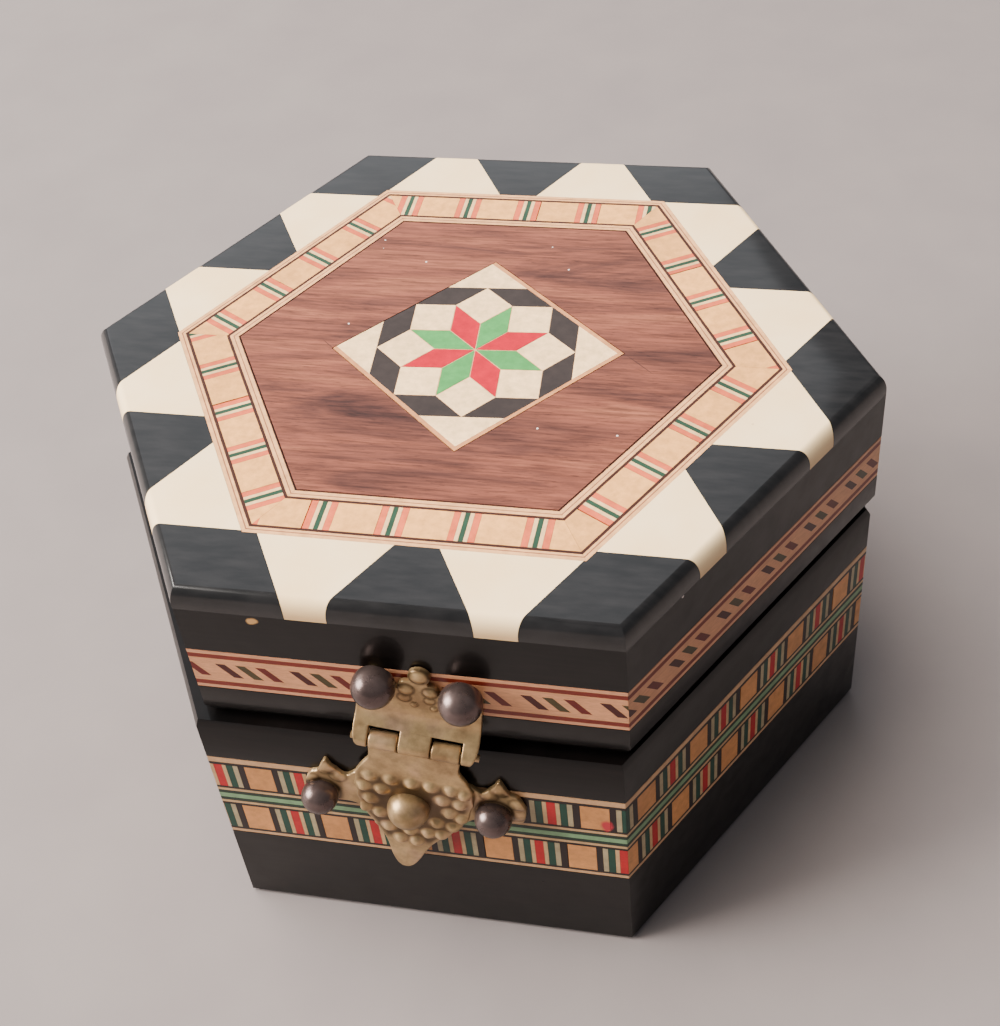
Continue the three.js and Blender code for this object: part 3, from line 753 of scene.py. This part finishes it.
def star_tile(points, tint, gap, low=star_low, high=top, tone=None):
    """Upright tile on flat points, smaller by a gap all round, in a tone of its own."""
    if tone is None:
        tone = TONE_LOW + TONE_SPREAD * (len(star.bm.verts) * 7 % 5) / 5
    lows, highs = ([(p.x, p.y, z) for p in shrunk(points, gap)] for z in (low, high))
    star.block(lows, highs, tint, tone)


star_shapes = []
for i in range(8):
    turn = 45 * i - HALF_STEP
    notch, next_notch = turn - HALF_STEP, turn + HALF_STEP
    tip, inner_corner, outer_corner = (tip_reach, turn), (arm_reach, next_notch), (1, next_notch)
    rhombus = ((0, 0), (arm_reach, notch), tip, inner_corner)
    square = (inner_corner, tip, outer_corner, (tip_reach, turn + 45))
    lozenge = (tip, (1, notch), (lozenge_reach, turn), outer_corner)
    star_shapes.append((rhombus, STAR_GREEN if i % 2 else STAR_RED, GLUE_GAP))
    star_shapes.append((square, STAR_WHITE, GLUE_GAP / 2))
    star_shapes.append((lozenge, STAR_BLACK, GLUE_GAP / 3))
for turn in (45, 135, 225, 315):
    triangle = ((lozenge_reach, turn - HALF_STEP), (math.sqrt(2), turn), (lozenge_reach, turn + HALF_STEP))
    star_shapes.append((triangle, STAR_WHITE, GLUE_GAP / 3))
for shape, tint, gap in star_shapes:
    star_tile([pattern_point(reach, degrees) for reach, degrees in shape], tint, gap)


def panel_oblong(x0, y0, x1, y1):
    return [panel_point(x0, y0), panel_point(x1, y0), panel_point(x1, y1), panel_point(x0, y1)]


half, line = panel_half, PANEL_LINE
for oblong in (
    (-half, -half, -half + line, half), (-half + line, -half, half, -half + line),
    (half - line, -half + line, half, half),
):
    star_tile(panel_oblong(*oblong), PANEL_EDGE, HAIRLINE)
bed = panel_oblong(-half, -half, half, half)
star_tile(bed, PANEL_GLUE, HAIRLINE * 2, star_low - HAIRLINE, top - BED_BELOW, 0.5)
star.finished("star_tiles", veneer_finish("star veneers", (1, 1, 1)), "star_panel", "lid", "star_wood")

# Narrow band round the lid
# A strip of pale wood with slanted dashes of dark red, olive and brown in threes, between
# red-brown lines. It is mitred at the corners and lies flush in its groove.
DASH_WIDTH, DASH_LEAN, DASH_TALL = 1.05 * MM, 1.7 * MM, 1.95 * MM
DASH_STEP, DASH_PITCH = 2.15 * MM, 7.9 * MM
DASH_TINTS = (colour(64, 14, 10), colour(66, 54, 26), colour(96, 22, 16))
DASH_STARTS = (-19.75, -24.05, -21.0, -19.5, -22.6, -20.2)
LID_PALE, LID_RED, LID_FIELD = colour(206, 144, 108), colour(112, 34, 20), colour(206, 144, 104)
BAND_DEPTH = 0.8 * MM
DASH_PROUD = 0.01 * MM
LID_GROUPS, LID_SPREAD, LID_SEED = 8, 0.12 * MM, 31
lid_band_lines = ((0.48, LID_PALE), (0.62, LID_RED), (None, LID_FIELD), (0.62, LID_RED), (0.48, LID_PALE))


def dash_unit():
    """Three slanted dashes, whose tops lean to the left."""
    outlines = []
    for n, tint in enumerate(DASH_TINTS):
        head = n * DASH_STEP
        foot = head + DASH_LEAN
        outline = ((foot, 0), (foot + DASH_WIDTH, 0), (head + DASH_WIDTH, DASH_TALL), (head, DASH_TALL))
        outlines.append((outline, tint))
    return unit_of("dashes", outlines, BAND_DEPTH / 2)


def band_lines(inlay, side, low, high, lines, k):
    """Bars of a wall's band on side k, from the bottom up, and the heights of the open rows."""
    rest = high - low - sum(width * MM for width, _ in lines if width is not None)
    open_rows = []
    for width, tint in lines:
        height = rest if width is None else width * MM
        if tint is None:
            open_rows.append((low, height))
        else:
            inlay.bar(k, side - BAND_DEPTH, side, low + HAIRLINE, low + height - HAIRLINE, tint)
        low += height
    return open_rows


lid_veneer = veneer_finish("lid band veneers", (1, 1, 6))
lid_inlay = Inlay(lid_centre)
dashes = dash_unit()
dash_low = (lid_band_low + lid_band_high - DASH_TALL) / 2
for k in range(6):
    band_lines(lid_inlay, lid_side, lid_band_low, lid_band_high, lid_band_lines, k)
    first = DASH_STARTS[k] * MM - DASH_PITCH
    lid_inlay.row(k, lid_side + DASH_PROUD, dash_low, False, dashes, LID_GROUPS, DASH_PITCH, first,
                  LID_SPREAD, LID_SEED + k, lid_veneer)
bpy.data.objects.remove(dashes)
lid_inlay.finished("lid_band_veneers", lid_veneer, "lid_band", "lid", "lid_strip_wood")

# Broad band round the body
# Two rows of sawn blocks, pale wood tiles between dark, green, cream and red lines, with green
# and cream lines between the rows. Each side's strip was cut where it came, so the rows don't
# line up with each other or at the corners. Some red dye has run into one tile.
BODY_TILE, BODY_DARK, BODY_PALE = colour(206, 140, 84), colour(30, 16, 13), colour(168, 150, 116)
BODY_GREEN, BODY_RED, BODY_CREAM = colour(14, 60, 46), colour(176, 26, 30), colour(196, 156, 112)
BODY_LIGHT, MINT = colour(196, 152, 112), colour(120, 152, 112)
BODY_LINE_GREEN = colour(22, 42, 30)
BODY_STRIPES = (
    (3.12, BODY_TILE), (0.7, BODY_DARK), (0.58, BODY_PALE), (0.78, BODY_GREEN), (0.46, BODY_CREAM),
    (0.96, BODY_RED), (0.46, BODY_CREAM), (0.78, BODY_GREEN), (0.58, BODY_PALE), (0.78, BODY_DARK),
)
LOWER_ROW, UPPER_ROW = 4.4, 3.95
BODY_ROW_STARTS = (
    (-20.6, -18.8), (-15.05, -20.8), (-18.2, -14.4), (-21.3, -16.9), (-16.4, -19.6), (-19.9, -15.2),
)
BODY_GROUPS, BODY_SPREAD, BODY_SEED = 7, 0.08 * MM, 51
body_band_lines = (
    (0.5, BODY_LIGHT), (0.38, BODY_DARK), (LOWER_ROW, None), (0.38, BODY_DARK), (0.42, BODY_CREAM),
    (0.55, BODY_LINE_GREEN), (0.76, MINT), (0.55, BODY_LINE_GREEN), (0.42, BODY_CREAM), (0.38, BODY_DARK),
    (UPPER_ROW, None), (0.45, BODY_DARK), (None, BODY_LIGHT),
)
body_pitch = sum(width for width, _ in BODY_STRIPES) * MM
body_stripes = tuple((width * MM, tint) for width, tint in BODY_STRIPES)
DYE_STAIN = ((21.1 * MM, -39.1 * MM, 22.8 * MM), (0.85 * MM, 3 * MM, 1.15 * MM), colour(178, 34, 52))
body_veneer = veneer_finish("body band veneers", (1, 1, 1), spot=DYE_STAIN)
body_inlay = Inlay(body_centre)
for k in range(6):
    rows = band_lines(body_inlay, body_side, body_band_low, body_band_high, body_band_lines, k)
    for n, (low, height) in enumerate(rows):
        unit = striped_unit("body_unit", body_stripes, height - HAIRLINE, BAND_DEPTH)
        first = BODY_ROW_STARTS[k][n] * MM - body_pitch
        body_inlay.row(k, body_side, low, False, unit, BODY_GROUPS, body_pitch, first,
                       BODY_SPREAD, BODY_SEED + 2 * k + n, body_veneer)
        bpy.data.objects.remove(unit)
body_inlay.finished("body_band_veneers", body_veneer, "body_band", "box", "body_strip_wood")

# Hasp plate
# Stamped sheet brass on the lid, gone dull and brown. It bends out from the wall and curls round
# the pin in three tabs, with a small embossed trefoil between the two big nails.
SHEET, SHEET_RIM = 0.55 * MM, 0.17 * MM
BARREL = 1.0 * MM
HASP_TURN = math.radians(8)
joint_places = {joint["name"]: Vector(joint["pos_m"]) for joint in frame["joints"]}
hasp_place = Matrix.Translation(joint_places["hasp_hinge"]) @ Matrix.Rotation(HASP_TURN, 4, "Y")

brass, add, feed = new_finish("dulled brass", 0.44, metallic=0.72)
tarnish = ramp(add, noise(add, 230, 4, 0.6), [
    (0.3, colour(168, 136, 98)), (0.5, colour(202, 170, 124)), (0.72, colour(212, 174, 140)),
])
stains = noise(add, 620, 5, 0.65)
metal_tone = vector_sum(add, "SCALE", tarnish, ranged(add, stains, (0.72, 1.04), (0.36, 0.6)))
# The brass is darkened towards dark brown by this attribute: a little real dirt all over, plus painted shade
# in hollows and painted shadows round the catch nails.
dirt_and_shade = add("ShaderNodeAttribute", attribute_name="dirt_and_shade").outputs["Fac"]
feed("Base Color", mixed(add, metal_tone, colour(48, 31, 19), dirt_and_shade))
feed("Roughness", ranged(add, stains, (0.24, 0.46)))
feed("Normal", bump(add, stains, 0.25, 0.05 * MM))


def smooth_value(table, at):
    """Value from a table of pairs, in a smooth line through them."""
    last = len(table) - 1
    i = max(0, min(last - 1, sum(1 for place, _ in table if place <= at) - 1))
    (x0, y0), (x1, y1) = table[i], table[i + 1]
    (xa, ya), (xb, yb) = table[max(i - 1, 0)], table[min(i + 2, last)]
    span = x1 - x0
    t = min(max((at - x0) / span, 0), 1)
    slope0, slope1 = (y1 - ya) / (x1 - xa) * span, (yb - y0) / (xb - x0) * span
    return (y0 * (1 + 2 * t) * (1 - t) ** 2 + slope0 * t * (1 - t) ** 2
            + y1 * t * t * (3 - 2 * t) + slope1 * t * t * (t - 1))


def along_path(path, distance):
    """Place, as outward and up, and heading after a distance along the stretches of a bent sheet."""
    place, heading, stretches = path
    for length, turn in stretches:
        step = max(min(distance, length), 0)
        if turn:
            radius = length / turn
            bent_heading = heading + step / radius
            place += radius * (cmath.exp(1j * bent_heading) - cmath.exp(1j * heading)) / 1j
            heading = bent_heading
        else:
            place += step * cmath.exp(1j * heading)
        distance -= step
    return place, heading


def bent_along(path, path_top, place_in):
    """Places a point of the flat blank on the bent sheet: across, behind its front, and its level."""
    def placed(across, behind, level):
        point, heading = along_path(path, path_top - level)
        point += behind * cmath.exp(1j * (heading - math.pi / 2))
        return place_in @ Vector((across, -point.real, point.imag))
    return placed


def spread_levels(low, high, step):
    count = max(2, math.ceil((high - low) / step))
    return [low + (high - low) * i / count for i in range(count + 1)]


RIM_SHARES = (0.0, 0.25, 0.55, 1.0)
# The backs of the sheet are darker.
BACK_DARKENING = 0.35


def sheet_patch(bm, levels, edges, columns, relief, placed):
    """Closed patch of sheet from its levels and the two edges at each, with rounded front edges."""
    dirt_and_shade_layer = bm.verts.layers.float.get("dirt_and_shade") or bm.verts.layers.float.new("dirt_and_shade")
    fronts, backs = [], []
    for level in levels:
        low, high = edges(level)
        rim = min(SHEET_RIM, (high - low) / 4)
        stops = [low + rim * share for share in RIM_SHARES]
        stops += [low + rim + (high - low - 2 * rim) * i / columns for i in range(1, columns)]
        stops += [high - rim * share for share in reversed(RIM_SHARES)]
        front, back = [], []
        for across in stops:
            near = max(0.0, 1 - min(across - low, high - across, rim) / rim)
            drop = SHEET_RIM * (1 - math.sqrt(max(0.0, 1 - near * near)))
            # Each relief gives its raise and its darkening: dirt, and painted shade in its hollows.
            raised, grime_and_shade = relief(across, level)
            front.append(bm.verts.new(placed(across, drop - raised, level)))
            back.append(bm.verts.new(placed(across, SHEET - raised, level)))
            front[-1][dirt_and_shade_layer] = grime_and_shade
            back[-1][dirt_and_shade_layer] = BACK_DARKENING
        fronts.append(front)
        backs.append(back)
    for i in range(len(levels) - 1):
        for j in range(len(fronts[0]) - 1):
            bm.faces.new((fronts[i][j], fronts[i][j + 1], fronts[i + 1][j + 1], fronts[i + 1][j]))
            bm.faces.new((backs[i][j], backs[i + 1][j], backs[i + 1][j + 1], backs[i][j + 1]))
        for j in (0, -1):
            bm.faces.new((fronts[i][j], fronts[i + 1][j], backs[i + 1][j], backs[i][j]))
    for i in (0, -1):
        for j in range(len(fronts[0]) - 1):
            bm.faces.new((fronts[i][j], backs[i][j], backs[i][j + 1], fronts[i][j + 1]))


DOME_FOOT, DOME_SHOULDER = 0.35, 0.62


def dome(across, level, centre, radius, height):
    """Height of a smooth round bump, and how near its foot the place is."""
    away = math.hypot(across - centre[0], level - centre[1]) / radius
    if away >= 1:
        return 0.0, max(0.0, 1 - (away - 1) / DOME_FOOT)
    return height * math.cos(away * math.pi / 2), max(0.0, (away - DOME_SHOULDER) / (1 - DOME_SHOULDER))


def metal_piece(name, bm, finish, node, body, slot):
    fit_piece(new_object(name, mesh_from(name, bm, math.radians(38))), finish, body, slot, node)


PLATE_FRONT, PLATE_TOP = -1.24 * MM, 7.4 * MM
PLATE_BEND, BEND_RADIUS, CURL_TURN = math.radians(42), 2.0 * MM, math.radians(242)
WINDOW_INNER, WINDOW_OUTER, WINDOW_ABOVE = 1.65 * MM, 4.9 * MM, 1.45 * MM
KNUCKLE_GAP = 0.15 * MM
LEAST_HALF = 0.08
PLATE_STEP, PLATE_COLUMNS = 0.16 * MM, 84
TAB_STEP, TAB_COLUMNS = 0.13 * MM, 8
LOBE_STEP, LOBE_COLUMNS = 0.08 * MM, 24
plate_edge = [(at * MM, half * MM) for at, half in (
    (-5, 5.4), (-2.4, 5.6), (-1.2, 6.0), (0.0, 6.4), (1.2, 6.55), (3.0, 6.5), (6.0, 6.45), (7.4, 6.4),
)]
CROWN_LOBES = ((-0.1, 9.6, 1.15), (-1.25, 7.7, 1.0), (1.05, 7.6, 0.9), (-0.1, 8.3, 1.0))
EAR_LOBES = ((-4.4, 8.0, 1.2), (4.4, 8.0, 1.2))
CROWN_BUMPS = (
    (-0.1, 9.75, 1.0, 0.36), (-1.35, 7.5, 0.85, 0.34), (1.1, 7.55, 0.8, 0.36), (-1.5, 6.2, 0.7, 0.2),
    (-0.45, 5.3, 0.4, 0.22), (1.6, 5.2, 0.42, 0.26), (1.1, 6.3, 0.6, 0.16),
)

# The straight run between the bend and the barrel touches both.
bend_depth = BEND_RADIUS * (1 - math.cos(PLATE_BEND))
run = (BARREL * math.cos(PLATE_BEND) - PLATE_FRONT - bend_depth) / math.sin(PLATE_BEND)
bend_top = (BARREL + BEND_RADIUS) * math.sin(PLATE_BEND) + run * math.cos(PLATE_BEND)
plate_path_top = 12 * MM
plate_path = (
    complex(PLATE_FRONT, plate_path_top), -math.pi / 2,
    [(plate_path_top - bend_top, 0), (BEND_RADIUS * PLATE_BEND, PLATE_BEND), (run, 0),
     (BARREL * CURL_TURN, -CURL_TURN)],
)
plate_placed = bent_along(plate_path, plate_path_top, hasp_place)
barrel_level = bend_top - BEND_RADIUS * PLATE_BEND - run
window_top = barrel_level + WINDOW_ABOVE
curl_end = barrel_level - BARREL * CURL_TURN


def bumpy(across, level, bumps, grime_and_shade, foot_shade_and_grime, bare):
    """Height of the tallest of several bumps, and the dirt and painted shade round the feet of those that are
    low there.
    """
    raised = 0.0
    for x, up, radius, tall in bumps:
        height, foot = dome(across, level, (x * MM, up * MM), radius * MM, tall * MM)
        raised = max(raised, height)
        grime_and_shade = max(grime_and_shade, foot_shade_and_grime * foot if height < bare else 0.0)
    return raised, grime_and_shade


def crown_relief(across, level):
    """Bumps of the trefoil, with a little dirt all over and dirt and painted shade round their feet."""
    return bumpy(across, level, CROWN_BUMPS, 0.12, 0.85, 0.15 * MM)


def round_edges(lobes):
    """Outline of overlapping round lobes: their outermost places at a level."""
    def edges(level):
        spans = []
        for x, up, radius in lobes:
            rise = abs(level / MM - up)
            half = max(math.sqrt(max(radius * radius - rise * rise, 0.0)), LEAST_HALF)
            if rise <= radius + 1e-6:
                spans += [x - half, x + half]
        return min(spans) * MM, max(spans) * MM
    return edges


def plain(across, level):
    """Flat sheet with a little dirt all over."""
    return 0.0, 0.1


def full_width(level):
    half = smooth_value(plate_edge, level)
    return -half, half


plate = bmesh.new()
plate_levels = spread_levels(window_top, PLATE_TOP, PLATE_STEP)
sheet_patch(plate, plate_levels, full_width, PLATE_COLUMNS, crown_relief, plate_placed)
tab_levels = spread_levels(curl_end, window_top - HAIRLINE, TAB_STEP)
for tab in (
    lambda level: (-smooth_value(plate_edge, level), -WINDOW_OUTER),
    lambda level: (-WINDOW_INNER, WINDOW_INNER),
    lambda level: (WINDOW_OUTER, smooth_value(plate_edge, level)),
):
    sheet_patch(plate, tab_levels, tab, TAB_COLUMNS, plain, plate_placed)
for lobes in (CROWN_LOBES, EAR_LOBES[:1], EAR_LOBES[1:]):
    summit = max(up + radius for _, up, radius in lobes) * MM
    lobe_levels = spread_levels(PLATE_TOP + HAIRLINE, summit, LOBE_STEP)
    sheet_patch(plate, lobe_levels, round_edges(lobes), LOBE_COLUMNS, crown_relief, plate_placed)
metal_piece("brass_hasp_plate", plate, brass, "hasp_plate", "lid", "brass")
finish_node("hasp_pin", brass)

# Hasp flap
# One stamped leaf that swings on the pin: two knuckles, a plain neck, a field of embossed dots
# with dirt and painted shade darkening the hollows between them, and a plain pointed tip that is
# lifted to open the box.
FLAP_FRONT, FLAP_TIP, FLAP_NECK = 0.4 * MM, 22.4 * MM, 1.2 * MM
CREASE = 0.3 * MM
flap_half = [(-below * MM, half * MM) for below, half in (
    (22.4, 0.5), (21.85, 1.0), (20.45, 1.6), (19.05, 2.0), (17.45, 2.55), (15.45, 3.6), (13.45, 4.9),
    (11.45, 5.75), (9.45, 6.15), (7.45, 6.3), (5.45, 6.0), (4.25, 5.45), (3.15, 4.85), (2.2, 4.78),
    (1.2, 4.85),
)]
flap_middle = [(-below * MM, right * MM) for below, right in (
    (22.4, -0.6), (20.0, -0.5), (17.0, -0.28), (14.0, -0.05), (10.0, 0.08), (6.0, 0.0), (3.0, -0.08),
    (1.2, -0.05),
)]
FLAP_DOTS = (
    (-4.75, 6.1), (-2.4, 6.1), (-0.15, 6.1), (1.85, 6.1), (4.05, 6.1), (5.45, 6.5), (-5.4, 8.1),
    (-3.35, 8.1), (3.15, 8.1), (5.1, 8.3), (-4.65, 10.2), (4.05, 10.2), (5.35, 10.9), (-5.2, 12.0),
    (-3.6, 12.5), (2.75, 12.5), (4.5, 12.8), (-2.6, 14.8), (-0.15, 14.8), (1.85, 14.8), (3.3, 14.7),
    (-1.2, 16.7), (0.6, 16.7),
)
DOT_RADIUS, DOT_HEIGHT, DOT_BED = 0.88 * MM, 0.52 * MM, 1.5 * MM
FIELD_TOP, FIELD_FOOT, FIELD_EDGE = -5.2 * MM, -17.4 * MM, 0.7 * MM
BULGE, BULGE_REACH = 0.16 * MM, 0.55 * MM
PILLOW, PILLOW_REACH = 0.12 * MM, 2 * MM
VALLEY_START, VALLEY_STEEP = 0.42, 3
LEAF_STEP, LEAF_COLUMNS, KNUCKLE_STEP, KNUCKLE_END = 0.15 * MM, 80, 0.1 * MM, 0.02 * MM
crease_angle = math.acos((FLAP_FRONT + CREASE) / (BARREL + CREASE))
crease_level = -(BARREL + CREASE) * math.sin(crease_angle)
flap_curl = math.radians(200) + crease_angle
flap_path_top = crease_level + CREASE * crease_angle + BARREL * flap_curl
curl_start = flap_curl - crease_angle
flap_path = (
    BARREL * cmath.exp(1j * curl_start), curl_start - math.pi / 2,
    [(BARREL * flap_curl, -flap_curl), (CREASE * crease_angle, crease_angle), (30 * MM, 0)],
)
flap_placed = bent_along(flap_path, flap_path_top, hasp_place)
dots = [(x * MM, -below * MM) for x, below in FLAP_DOTS]


def flap_edges(level):
    """Edges of the leaf, which swell a little beside the dots next to them."""
    middle, half = smooth_value(flap_middle, level), smooth_value(flap_half, level)
    bulges = []
    for side in (-1, 1):
        near = [z for x, z in dots if side * (x - middle) > half - DOT_BED]
        bulges.append(BULGE * min(sum(math.exp(-((level - z) / BULGE_REACH) ** 2) for z in near), 1))
    return middle - half - bulges[0], middle + half + bulges[1]


def flap_relief(across, level):
    """Embossed dots, a faint pillow over the whole leaf, and dirt and painted shade in the hollows."""
    low, high = flap_edges(level)
    inside = min(across - low, high - across)
    sunk = min(max((FIELD_TOP - level) / PILLOW_REACH, 0), 1)
    pillow = PILLOW * min(inside / PILLOW_REACH, 1) * sunk
    raised = max(dome(across, level, dot, DOT_RADIUS, DOT_HEIGHT)[0] for dot in dots)
    closest = min(math.hypot(across - x, level - z) / DOT_BED for x, z in dots)
    over_foot = max((level - FIELD_FOOT) / MM, 0)
    in_field = min(max((FIELD_TOP - level) / MM, 0), over_foot, inside / FIELD_EDGE, 1)
    # Darker towards the middles between the dots: painted shade, with some dirt.
    valley = min(max(0.0, min(closest, 1.0) - VALLEY_START) * VALLEY_STEEP, 1)
    return raised + pillow, 0.05 + 0.8 * in_field * valley


flap = bmesh.new()
leaf_levels = spread_levels(-FLAP_TIP, -FLAP_NECK, LEAF_STEP)
sheet_patch(flap, leaf_levels, flap_edges, LEAF_COLUMNS, flap_relief, flap_placed)
knuckle_levels = spread_levels(-FLAP_NECK + HAIRLINE, flap_path_top - KNUCKLE_END, KNUCKLE_STEP)
near, far = WINDOW_INNER + KNUCKLE_GAP, WINDOW_OUTER - KNUCKLE_GAP
for span in ((-far, -near), (near, far)):
    sheet_patch(flap, knuckle_levels, lambda level: span, TAB_COLUMNS, plain, flap_placed)
metal_piece("brass_hasp_flap", flap, brass, "hasp_flap", "flap", "brass")

# Button of the flap
# A domed brass rivet in the middle of the dots, a little worn and pinkish. Its shank goes into
# the leaf.
LATHE_SIDES, DOME_STEPS = 56, 16
BUTTON_RADIUS, BUTTON_STAND, BUTTON_SHANK = 2.3 * MM, 0.12, 0.8 * MM
BUTTON_PLACE = Vector((-0.35 * MM, -(FLAP_FRONT + SEAM), -10.3 * MM))
BUTTON_GRIME = 0.35


def turned_head(bm, radius, stand, shank, reach, place_in):
    """Round head on a shank, standing outward with its seat at the origin of its place."""
    seat_angle = math.asin(stand)
    outline = [(0.0, -reach), (shank, -reach), (shank, 0.0)]
    for i in range(DOME_STEPS + 1):
        angle = -seat_angle + (math.pi / 2 + seat_angle) * i / DOME_STEPS
        outline.append((radius * math.cos(angle), radius * (stand + math.sin(angle))))
    angles = [math.tau * i / LATHE_SIDES for i in range(LATHE_SIDES)]
    rings = []
    for r, outward in outline:
        points = [Vector((r * math.cos(a), -outward, r * math.sin(a))) for a in angles]
        corners = [bm.verts.new(place_in @ point) for point in (points if r > 1e-6 else points[:1])]
        rings.append(corners if r > 1e-6 else corners * LATHE_SIDES)
    for inner, outer in zip(rings, rings[1:]):
        for i in range(LATHE_SIDES):
            j = (i + 1) % LATHE_SIDES
            bm.faces.new(list(dict.fromkeys((inner[i], inner[j], outer[j], outer[i]))))


button = bmesh.new()
grime_layer = button.verts.layers.float.new("dirt_and_shade")
button_place = hasp_place @ Matrix.Translation(BUTTON_PLACE)
turned_head(button, BUTTON_RADIUS, BUTTON_STAND, BUTTON_SHANK, SHEET, button_place)
for vertex in button.verts:
    vertex[grime_layer] = BUTTON_GRIME
metal_piece("brass_hasp_button", button, brass, "hasp_button", "flap", "brass")

# Catch plate
# Stamped brass on the front of the body, behind the flap. Each end is a three-lobed leaf under a
# nail, with a raised edge and a dark ring round the nail's head that is its painted shadow.
CATCH_TURN, CATCH_MIDDLE, CATCH_LEVEL = math.radians(1.8), 0.25 * MM, 23.6 * MM
CATCH_BACK = 0.05 * MM
catch_top = [(x * MM, up * MM) for x, up in (
    (0, 4.3), (4.5, 4.3), (6.25, 4.0), (7.2, 3.25), (8.0, 3.7), (8.8, 4.7), (9.35, 5.5), (9.95, 4.6),
    (10.4, 3.5), (11.15, 3.1), (11.75, 2.2), (12.05, 1.0),
)]
catch_foot = [(x * MM, up * MM) for x, up in (
    (0, -3.6), (4.5, -3.2), (6.6, -1.7), (8.4, -1.4), (10.4, -1.3), (11.6, -1.25), (11.95, -0.4),
    (12.05, 0.4),
)]
CATCH_NAIL_SPAN, CATCH_NAIL_RIGHT = 9.5 * MM, -0.85 * MM
# Radius and width of the painted shadow ring round each catch nail.
NAIL_SHADOW_RADIUS, NAIL_SHADOW_WIDTH = 2.1 * MM, 0.7 * MM
CATCH_BUMPS = ((9.4, 4.2, 1.1, 0.3), (8.2, 3.0, 1.0, 0.2), (11.2, 1.9, 1.0, 0.28), (11.0, 0.2, 1.1, 0.22))
CATCH_END, CATCH_STEP, CATCH_COLUMNS = 12.04 * MM, 0.12 * MM, 44
catch_middle = Matrix.Translation((CATCH_MIDDLE, -body_side, CATCH_LEVEL))
catch_place = catch_middle @ Matrix.Rotation(CATCH_TURN, 4, "Y")


def catch_edges(along):
    return smooth_value(catch_foot, abs(along)), smooth_value(catch_top, abs(along))


def catch_relief(up, along):
    """Raised lobes of the leaves, dirt and painted shade round them, and a painted shadow in a ring round
    each nail's head.
    """
    raised, grime_and_shade = bumpy(abs(along), up, CATCH_BUMPS, 0.15, 0.6, 0.1 * MM)
    # A dark ring round each nail's head: the painted shadow of the head on the leaf.
    for side in (-1, 1):
        away = math.hypot(along - CATCH_NAIL_RIGHT - side * CATCH_NAIL_SPAN, up)
        grime_and_shade = max(grime_and_shade, 0.9 - abs(away - NAIL_SHADOW_RADIUS) / NAIL_SHADOW_WIDTH)
    return raised, min(max(grime_and_shade, 0), 1)


def catch_placed(up, behind, along):
    return catch_place @ Vector((along, behind - CATCH_BACK - SHEET, up))


catch = bmesh.new()
catch_levels = spread_levels(-CATCH_END, CATCH_END, CATCH_STEP)
sheet_patch(catch, catch_levels, catch_edges, CATCH_COLUMNS, catch_relief, catch_placed)
metal_piece("brass_catch_plate", catch, brass, "catch_plate", "box", "brass")

# Nails
# Round-headed nails of dark bronzed iron: two big ones in the hasp plate, two in the catch plate
# and four small ones in the hinge. Their heads shine softly where they are rubbed.
gunmetal, add, feed = new_finish("gunmetal", 0.3, metallic=0.8)
rubbed = noise(add, 420, 4, 0.6)
feed("Base Color", ramp(add, rubbed, [(0.3, colour(84, 71, 69)), (0.7, colour(114, 98, 95))]))
feed("Roughness", ranged(add, rubbed, (0.2, 0.36)))
feed("Normal", bump(add, noise(add, 700, 3), 0.12, 0.05 * MM))

# Each head has its radius, how far its middle stands off as a share of that, and its shank.
BIG_HEAD, MIDDLING_HEAD, SMALL_HEAD = (2.25, 0.5, 0.6), (2.0, 0.4, 0.5), (1.4, 0.1, 0.45)
BIG_ASIDE, BIG_UP, SMALL_ASIDE, SMALL_UP = 4.4 * MM, 8.4 * MM, 6.5 * MM, 7.2 * MM
HINGE_LEAF_FRONT, NAIL_SEAT, NAIL_REACH = -0.5 * MM, 0.02 * MM, 3.8 * MM
hinge_place = Matrix.Translation(joint_places["lid_hinge"]) @ Matrix.Rotation(math.pi, 4, "Z")
nails = []
for side, word in ((-1, "left"), (1, "right")):
    big = (side * BIG_ASIDE, -(PLATE_FRONT + NAIL_SEAT), BIG_UP)
    middling = (CATCH_NAIL_RIGHT + side * CATCH_NAIL_SPAN, -(CATCH_BACK + SHEET), 0)
    nails.append((f"hasp_nail_{word}", "lid", hasp_place, big, BIG_HEAD))
    nails.append((f"catch_nail_{word}", "box", catch_place, middling, MIDDLING_HEAD))
    for part, body, up in (("lower", "box", -SMALL_UP), ("upper", "lid", SMALL_UP)):
        small = (side * SMALL_ASIDE, -(HINGE_LEAF_FRONT + NAIL_SEAT), up)
        nails.append((f"hinge_{part}_nail_{word}", body, hinge_place, small, SMALL_HEAD))
for node, body, place_in, seat, (radius, stand, shank) in nails:
    head = bmesh.new()
    turned_head(head, radius * MM, stand, shank * MM, NAIL_REACH, place_in @ Matrix.Translation(seat))
    metal_piece("dark_" + node, head, gunmetal, node, body, "gunmetal")

# Hinge at the back
# A plain butt hinge of the same brass: two leaves, nailed to the body and the lid opposite the
# hasp, and the pin that they turn on.
for node in ("hinge_lower_leaf", "hinge_upper_leaf", "hinge_pin"):
    finish_node(node, brass)
